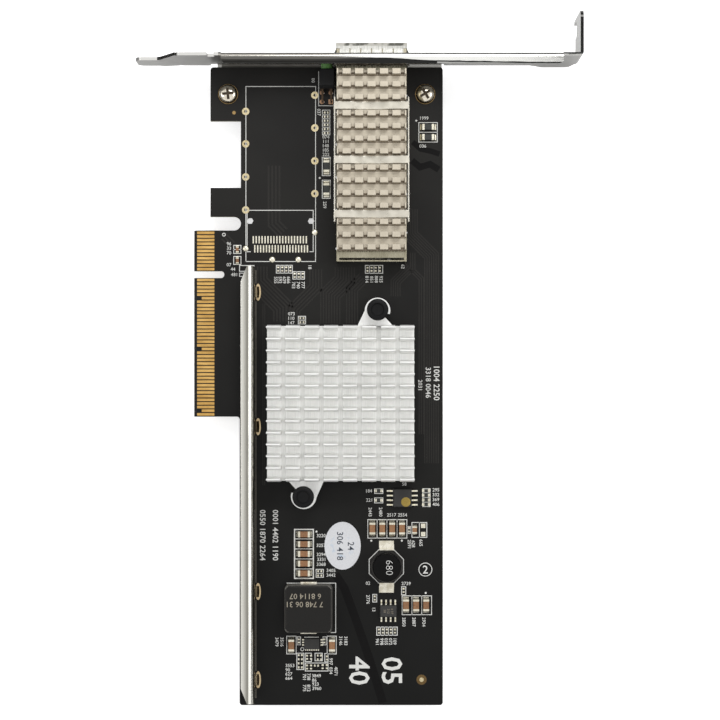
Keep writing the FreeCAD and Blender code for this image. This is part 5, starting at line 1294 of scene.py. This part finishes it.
# ---- riding heatsink ----
PORT_X = 48.85
RIDER_FRONT = 54.85
RIDER_ROWS = (3, 4, 4, 3)
RIDER_PITCH, RIDER_GROUP_GAP, RIDER_PIN = 3.42, 4.4, 1.5
RIDER_PIN_HIGH = 2.7
RIDER_SLOTS, RIDER_SLOT_PITCH, RIDER_SLOT_HALF = 6, 3.36, 0.51
RIDER_ROW_SHADE_HALF = 9.3


def rider_rows():
    """Middles of the pin rows, front to rear."""
    y, rows = RIDER_FRONT - RIDER_PIN / 2, []
    for count in RIDER_ROWS:
        rows += [y - RIDER_PITCH * index for index in range(count)]
        y = rows[-1] - RIDER_GROUP_GAP
    return rows


def rider_pits():
    """Painted shade: dark blocks in the pits of the slots and a dark strip at the foot of every row."""
    level = top_of("port_heatsink") - RIDER_PIN_HIGH - 0.01
    pit, row_shade = bmesh.new(), bmesh.new()
    block(pit, -RIDER_SLOT_HALF, RIDER_SLOT_HALF, -0.62, 0.0, 0, 0.12)
    block(row_shade, -RIDER_ROW_SHADE_HALF, RIDER_ROW_SHADE_HALF, -0.98, -0.74, 0, 0.03)
    slots = [PORT_X + RIDER_SLOT_PITCH * (index - (RIDER_SLOTS - 1) / 2) for index in range(RIDER_SLOTS)]
    pits = copies(pit, [(x, y, level, 0) for y in rider_rows() for x in slots], RIDER_PIT)
    row_shades = copies(row_shade, [(PORT_X, y, level, 0) for y in rider_rows()], RIDER_PIT)
    settle_mesh("rider_pits", gathered(pits, row_shades), RIDER_PIT)


# ---- main heatsink ----
CHIP_X, CHIP_Y = 40.4, -35.5
SINK_X, SINK_Y = 40.2, 42.3
SINK_BASE = 2.0
SINK_ROWS, SINK_COLUMNS, SINK_CHANNEL = 14, 8, 1.3
PIN_WIDE = (SINK_X - (SINK_COLUMNS - 1) * SINK_CHANNEL) / SINK_COLUMNS
FIN_ROOT, FIN_TOP, FIN_FOOT = 0.95, 0.3, 0.28
SAW_STOP = 0.2
EAR_RADIUS, EAR_HOLE, EAR_NECK_HALF = 3.5, 1.75, 5.6


def sink_levels():
    """Underside, base plate's top and pins' top of the main heatsink."""
    low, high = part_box("main_heatsink")
    return low.z / MM, low.z / MM + SINK_BASE, high.z / MM


def fin(floor, top):
    """Fin with a drafted front and back and a rounded crest."""
    shape = bmesh.new()
    root, crest = FIN_ROOT / 2, FIN_TOP / 2
    profile = ((root + FIN_FOOT, floor), (root, floor + 0.35), (crest + 0.02, top - 0.04), (crest, top),
               (-crest, top), (-crest - 0.1, top - 0.16), (-root, floor + 0.35), (-root - FIN_FOOT, floor))
    bar(shape, profile, PIN_WIDE / 2, "X")
    return shape


def main_heatsink():
    """Extruded fins cut into pins by seven sawn channels."""
    _, floor, top = sink_levels()
    pins = field(fin(floor - 0.01, top), SINK_COLUMNS, SINK_ROWS, SINK_X - PIN_WIDE, SINK_Y - FIN_ROOT,
                 (CHIP_X, CHIP_Y, 0), SINK)
    settle_mesh("heatsink_fins", pins, SINK, ("main_heatsink",), 35)
    burr, sawn = bmesh.new(), bmesh.new()
    rear, front = CHIP_Y - SINK_Y / 2 + SAW_STOP, CHIP_Y + SINK_Y / 2 - SAW_STOP
    half = SINK_CHANNEL / 2
    for index in range(1, SINK_COLUMNS):
        x = CHIP_X - SINK_X / 2 + index * (PIN_WIDE + SINK_CHANNEL) - half
        for near, far in ((x - half - 0.2, x - half), (x + half, x + half + 0.2)):
            block(burr, near, far, rear, front, floor - 0.02, floor + 0.05)
        block(sawn, x - half + 0.01, x + half - 0.01, rear, front, floor - 0.02, floor + 0.02)
    settle("heatsink_saw_burrs", burr, SINK_CUT)
    settle("heatsink_channel_floors", sawn, SINK_CHANNEL_FLOOR)


def sink_base():
    """Base plate and its two ears with the push pin holes."""
    base, floor, _ = sink_levels()
    half_x, half_y = SINK_X / 2, SINK_Y / 2
    plate, ears = bmesh.new(), bmesh.new()
    block(plate, CHIP_X - half_x, CHIP_X + half_x, CHIP_Y - half_y, CHIP_Y + half_y, base, floor)
    bevelled(plate, 0.18)
    settle("heatsink_base", plate, SINK_FLOOR, (), 35)
    for (x, y), side in zip(PUSH_PLACES, (1, -1)):
        edge = CHIP_Y + side * (half_y - 0.15)
        arc = [point for point in round_points(x, y, EAR_RADIUS, 48) if (point[1] - y) * side > -1.2]
        arc.sort(key=lambda point: math.atan2((point[1] - y) * side, (point[0] - x) * side))
        rim = [(x + side * EAR_NECK_HALF, edge), *arc, (x - side * EAR_NECK_HALF, edge)]
        ear_plate(ears, rim, x, y, EAR_HOLE, base, floor)
    settle("heatsink_ears", ears, SINK_CUT, (), 35)


def ear_plate(shape, rim, x, y, hole, low, high):
    """Plate with a round hole: quads from the hole to the rim along equal angles."""
    centre = Vector((x, y))
    ways = [Vector(point) for point in round_points(0, 0, 1, 48)]
    outer = [tuple(centre + way * reach_to(rim, centre, way)) for way in ways]
    ring(shape, outer, [tuple(centre + way * hole) for way in ways], low, high)


def reach_to(rim, centre, way):
    """Distance from a centre to a closed rim along a direction."""
    best = 0.0
    for first, second in zip(rim, rim[1:] + rim[:1]):
        a, b = Vector(first) - centre, Vector(second) - centre
        across = b - a
        spread = way.x * across.y - way.y * across.x
        if abs(spread) < 1e-9:
            continue
        far = (a.x * across.y - a.y * across.x) / spread
        share = (a.x * way.y - a.y * way.x) / spread
        if far > 0 and -1e-6 <= share <= 1 + 1e-6:
            best = max(best, far)
    return best


# ---- drum inductor ----
DRUM_X, DRUM_Y = 53.05, -80.4
DRUM_FLANGE, DRUM_FLANGE_THICK, DRUM_NECK = 3.85, 0.9, 2.1
DRUM_WIRE = 0.3


def drum():
    """Bobbin, rings of painted highlight round the base, solder at its ends and winding."""
    low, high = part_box("drum_core")
    bottom, top = low.z / MM, high.z / MM
    core, rim, solder = bmesh.new(), bmesh.new(), bmesh.new()
    edge, soft, thick = DRUM_FLANGE, DRUM_FLANGE - 0.1, DRUM_FLANGE_THICK
    profile = [(0, bottom), (soft, bottom), (edge, bottom + 0.1), (edge, bottom + thick - 0.1),
               (soft, bottom + thick), (DRUM_NECK, bottom + thick), (DRUM_NECK, top - thick),
               (soft, top - thick), (edge, top - thick + 0.1), (edge, top - 0.2), (edge - 0.2, top - 0.02),
               (0, top - 0.02)]
    lathe(core, profile, DRUM_X, DRUM_Y, 64)
    settle("drum_core_dressed", core, DRUM, ("drum_core",), 35)
    foot = top_of("drum_base")
    # painted highlight: a round ring and an octagonal edge line on the base
    band(rim, DRUM_X, DRUM_Y, 4.3, 4.0, foot - 0.05, foot + 0.06, 64)
    band(rim, DRUM_X, DRUM_Y, 4.8, 4.68, foot - 0.05, foot + 0.02, 8, math.pi / 8)
    settle("drum_rim", rim, DRUM_RIM_HIGHLIGHT)
    for near, far in ((-75.2, -73.3), (-87.6, -85.7)):
        block(solder, 50.95, 55.0, near, far, BOARD_TOP - 0.01, BOARD_TOP + 0.3)
    bevelled(solder, 0.14)
    settle("drum_solder", solder, TERMINAL, (), 40)
    low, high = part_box("drum_winding")
    winding = coil(4.0, (high.x - low.x) / 2 / MM, DRUM_WIRE, "drum_winding", 40, WINDING)
    winding.transform(Matrix.Translation((DRUM_X * MM, DRUM_Y * MM, 0)))
    settle_mesh("drum_winding_dressed", winding, WINDING, ("drum_winding",), 60)


# ---- leads ----
LEAD_PITCH, LEAD_HALF, LEAD_THICK = 1.27, 0.21, 0.2
LEAD_OUT_UP = 0.95


def leads(node, body_half, foot_half, turn_across, name):
    """Gull-wing leads on both sides of a small chip, placed as the node's own are."""
    low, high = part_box(node)
    middle = (low + high) / 2 / MM
    bend, half = body_half + 0.65, LEAD_THICK / 2
    root, knee = body_half - 0.15, body_half + 0.35
    profile = ((root, LEAD_OUT_UP - half), (knee, LEAD_OUT_UP - half), (bend - 0.12, 0.12 - half),
               (foot_half, 0), (foot_half, LEAD_THICK), (bend + 0.08, 0.12 + half),
               (knee, LEAD_OUT_UP + half), (root, LEAD_OUT_UP + half))
    shape = bmesh.new()
    bar(shape, profile, LEAD_HALF)
    places = []
    for index in range(4):
        offset = (index - 1.5) * LEAD_PITCH
        x, y, turn = (offset, 0, 90) if turn_across else (0, offset, 0)
        places += [(middle.x + x, middle.y + y, BOARD_TOP, turn + side) for side in (0, 180)]
    settle_copies(name, shape, places, TIN, (node,), 40)


# ---- parts that keep their own form ----
LABEL_X, LABEL_Y = 40.9, -74.7
KEPT = {
    "circuit_board": MASK, "edge_fingers": FINGER_GOLD, "port_connector": CONNECTOR,
    "port_contacts": RING_GOLD, "led_lens": LENS, "led_leads": LEAD_DARK, "thermal_pad": PAD,
    "choke_terminals": TERMINAL, "drum_terminals": TERMINAL,
}
# nodes with their edges rounded: finish, slot, width of the rounding, angle of smooth shading
SOFTENED = (
    ("bracket", ZINC, "bracket_steel", 0.12, 35), ("port_cage", CAGE, "cage_nickel", 0.05, 35),
    ("cage_collar", COLLAR, "collar_spring", 0.03, 25), ("port_heatsink", RIDER, "rider_nickel", 0.05, 35),
    ("heatsink_clip", CLIP, "clip_steel", 0.05, 12), ("led_housing", LED_HOUSING, "led_black", 0.2, 35),
    ("controller_chip", EPOXY, "chip_black", 0.12, 35), ("stiffener_rail", RAIL, "rail_steel", 0.12, 35),
    ("power_choke", CHOKE, "ferrite", 0.3, 35), ("drum_base", DRUM_BASE, "drum_plastic", 0.12, 35),
    ("flash_chip", EPOXY, "chip_black", 0.12, 35), ("regulator_chip", EPOXY, "chip_black", 0.12, 35),
    ("driver_chip", EPOXY, "chip_black", 0.08, 35),
)


def kept_parts():
    """Finishes on the CAD nodes that stay, and rounded copies of the others."""
    label = label_finish((LABEL_X * MM, LABEL_Y * MM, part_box("inspection_label")[1].z))
    for node, finish in (*KEPT.items(), ("inspection_label", label)):
        for material_slot in frame["nodes"][node].material_slots:
            material_slot.material = finish
    for node, finish, slot, width, smooth in SOFTENED:
        softened(node, finish, width, smooth)


# ---- stage ----
FLOOR_HALF, FLOOR_GAP = 3000, 0.5
WALL_RADIUS, WALL_THICK, WALL_HIGH = 1600, 10, 520
FLAG_LOW, FLAG_THICK = 700, 4
# lamps in metres and watts: place, size, power
LAMPS = {
    "lamp_key": ((0.15, 0.42, 0.6), 0.35, 2.2), "lamp_left": ((-0.58, 0.0, 0.62), 0.25, 1.1),
    "lamp_right": ((0.68, 0.0, 0.62), 0.25, 1.1),
}
LAMP_AIM = Vector((0.045, -0.03, 0))


def staged(name, shape, finish):
    """Piece of the stage from a bmesh in millimetres."""
    mesh = mesh_of(name, shape)
    mesh.materials.append(finish)
    linked(name, mesh)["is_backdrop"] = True


def stage():
    """Pale floor, a wall round it, a dark card for the bracket's ear to mirror, and three soft lamps."""
    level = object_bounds()[0].z / MM - FLOOR_GAP
    floor, wall, flag = bmesh.new(), bmesh.new(), bmesh.new()
    corners = ((-1, -1), (1, -1), (1, 1), (-1, 1))
    floor.faces.new([floor.verts.new((x * FLOOR_HALF, y * FLOOR_HALF, level)) for x, y in corners])
    band(wall, 0, 0, WALL_RADIUS, WALL_RADIUS - WALL_THICK, level, WALL_HIGH, 96)
    block(flag, 150, 210, 160, 235, FLAG_LOW, FLAG_LOW + FLAG_THICK)
    staged("floor", floor, floor_finish())
    staged("wall", wall, wall_finish())
    staged("flag_ear", flag, flag_finish())
    for name, (place, size, power) in LAMPS.items():
        lamp = bpy.data.lights.new(name, "AREA")
        lamp.size = size
        lamp.energy = power
        holder = linked(name, lamp)
        holder.location = place
        holder.rotation_euler = (LAMP_AIM - Vector(place)).to_track_quat("-Z", "Y").to_euler()


def stage_finish(name, grey, **sockets):
    """Matt finish of a piece of the stage, and the light paths that tell what sees it."""
    finish = Finish(name)
    finish.set(Base_Color=linear(*grey), Roughness=0.9, Specular_IOR_Level=0.0, **sockets)
    return finish, finish.add("ShaderNodeLightPath").outputs


def floor_finish():
    """White to the camera and in reflections, matt and shadow-catching near the card."""
    finish, seen_by = stage_finish("stage_white", (240, 240, 240), Emission_Color=linear(255, 255, 255))
    away = finish.add("ShaderNodeVectorMath", operation="LENGTH")
    finish.join(finish.place, away.inputs[0])
    beyond = finish.spread(away.outputs["Value"], 0.62, 1.0, 0.3, 1.0, interpolation_type="SMOOTHSTEP")
    direct = finish.maths("MULTIPLY", seen_by["Is Camera Ray"], beyond)
    indirect = finish.maths("MAXIMUM", seen_by["Is Glossy Ray"], seen_by["Is Transmission Ray"])
    mirrored = finish.maths("MULTIPLY", indirect, 0.3)
    finish.feed(Emission_Strength=finish.maths("MAXIMUM", direct, mirrored))
    return finish.material


def wall_finish():
    """White to the camera, dark grey to what the metal mirrors at its rounded edges."""
    finish, seen_by = stage_finish("stage_wall", (50, 50, 50), Emission_Color=linear(255, 255, 255))
    finish.feed(Emission_Strength=seen_by["Is Camera Ray"])
    return finish.material


def flag_finish():
    """Dark card that the camera sees through."""
    finish, seen_by = stage_finish("stage_flag", (20, 19.4, 18.4))
    finish.feed(Alpha=finish.maths("SUBTRACT", 1.0, seen_by["Is Camera Ray"]))
    return finish.material


WORLD_LIGHT = 0.62


def world():
    """White to the camera, in mirrors and through glass, softer as light."""
    surround = bpy.data.worlds.new("surround")
    scene.world = surround
    surround.use_nodes = True
    tree = surround.node_tree
    tree.nodes.clear()
    paths, through, seen, soft, white, blend, leave = [tree.nodes.new("ShaderNode" + kind) for kind in (
        "LightPath", "Math", "Math", "Background", "Background", "MixShader", "OutputWorld")]
    for node in (through, seen):
        node.operation = "MAXIMUM"
    for node, strength in ((soft, WORLD_LIGHT), (white, 1.0)):
        node.inputs["Color"].default_value = (1, 1, 1, 1)
        node.inputs["Strength"].default_value = strength
    join_all(tree, (paths.outputs["Is Glossy Ray"], through.inputs[0]),
             (paths.outputs["Is Transmission Ray"], through.inputs[1]),
             (paths.outputs["Is Camera Ray"], seen.inputs[0]), (through.outputs[0], seen.inputs[1]),
             (seen.outputs[0], blend.inputs[0]), (soft.outputs[0], blend.inputs[1]),
             (white.outputs[0], blend.inputs[2]), (blend.outputs[0], leave.inputs[0]))


def camera():
    """Camera straight over the card."""
    eye = bpy.data.cameras.new("camera")
    eye.lens = 114.35
    eye.sensor_width = 36
    eye.shift_x = -0.0069
    eye.shift_y = 0.0694
    eye.clip_end = 10
    holder = linked("camera", eye)
    holder.location = (0.04706, -0.0373, 0.6308)
    scene.camera = holder


kept_parts()
chip_parts()
copper_under_mask()
press_fit_holes()
screw_rings()
spare_hole()
rail_slots()
white_print()
white_numbers()
part_numbers()
bare_pads()
screws()
push_pins()
push_springs()
rider_pits()
main_heatsink()
sink_base()
drum()
leads("flash_leads", 2.6, 4.25, False, "flash_leads_dressed")
leads("regulator_leads", 1.75, 3.05, True, "regulator_leads_dressed")
stage()
world()
camera()
scene.view_settings.view_transform = "Standard"
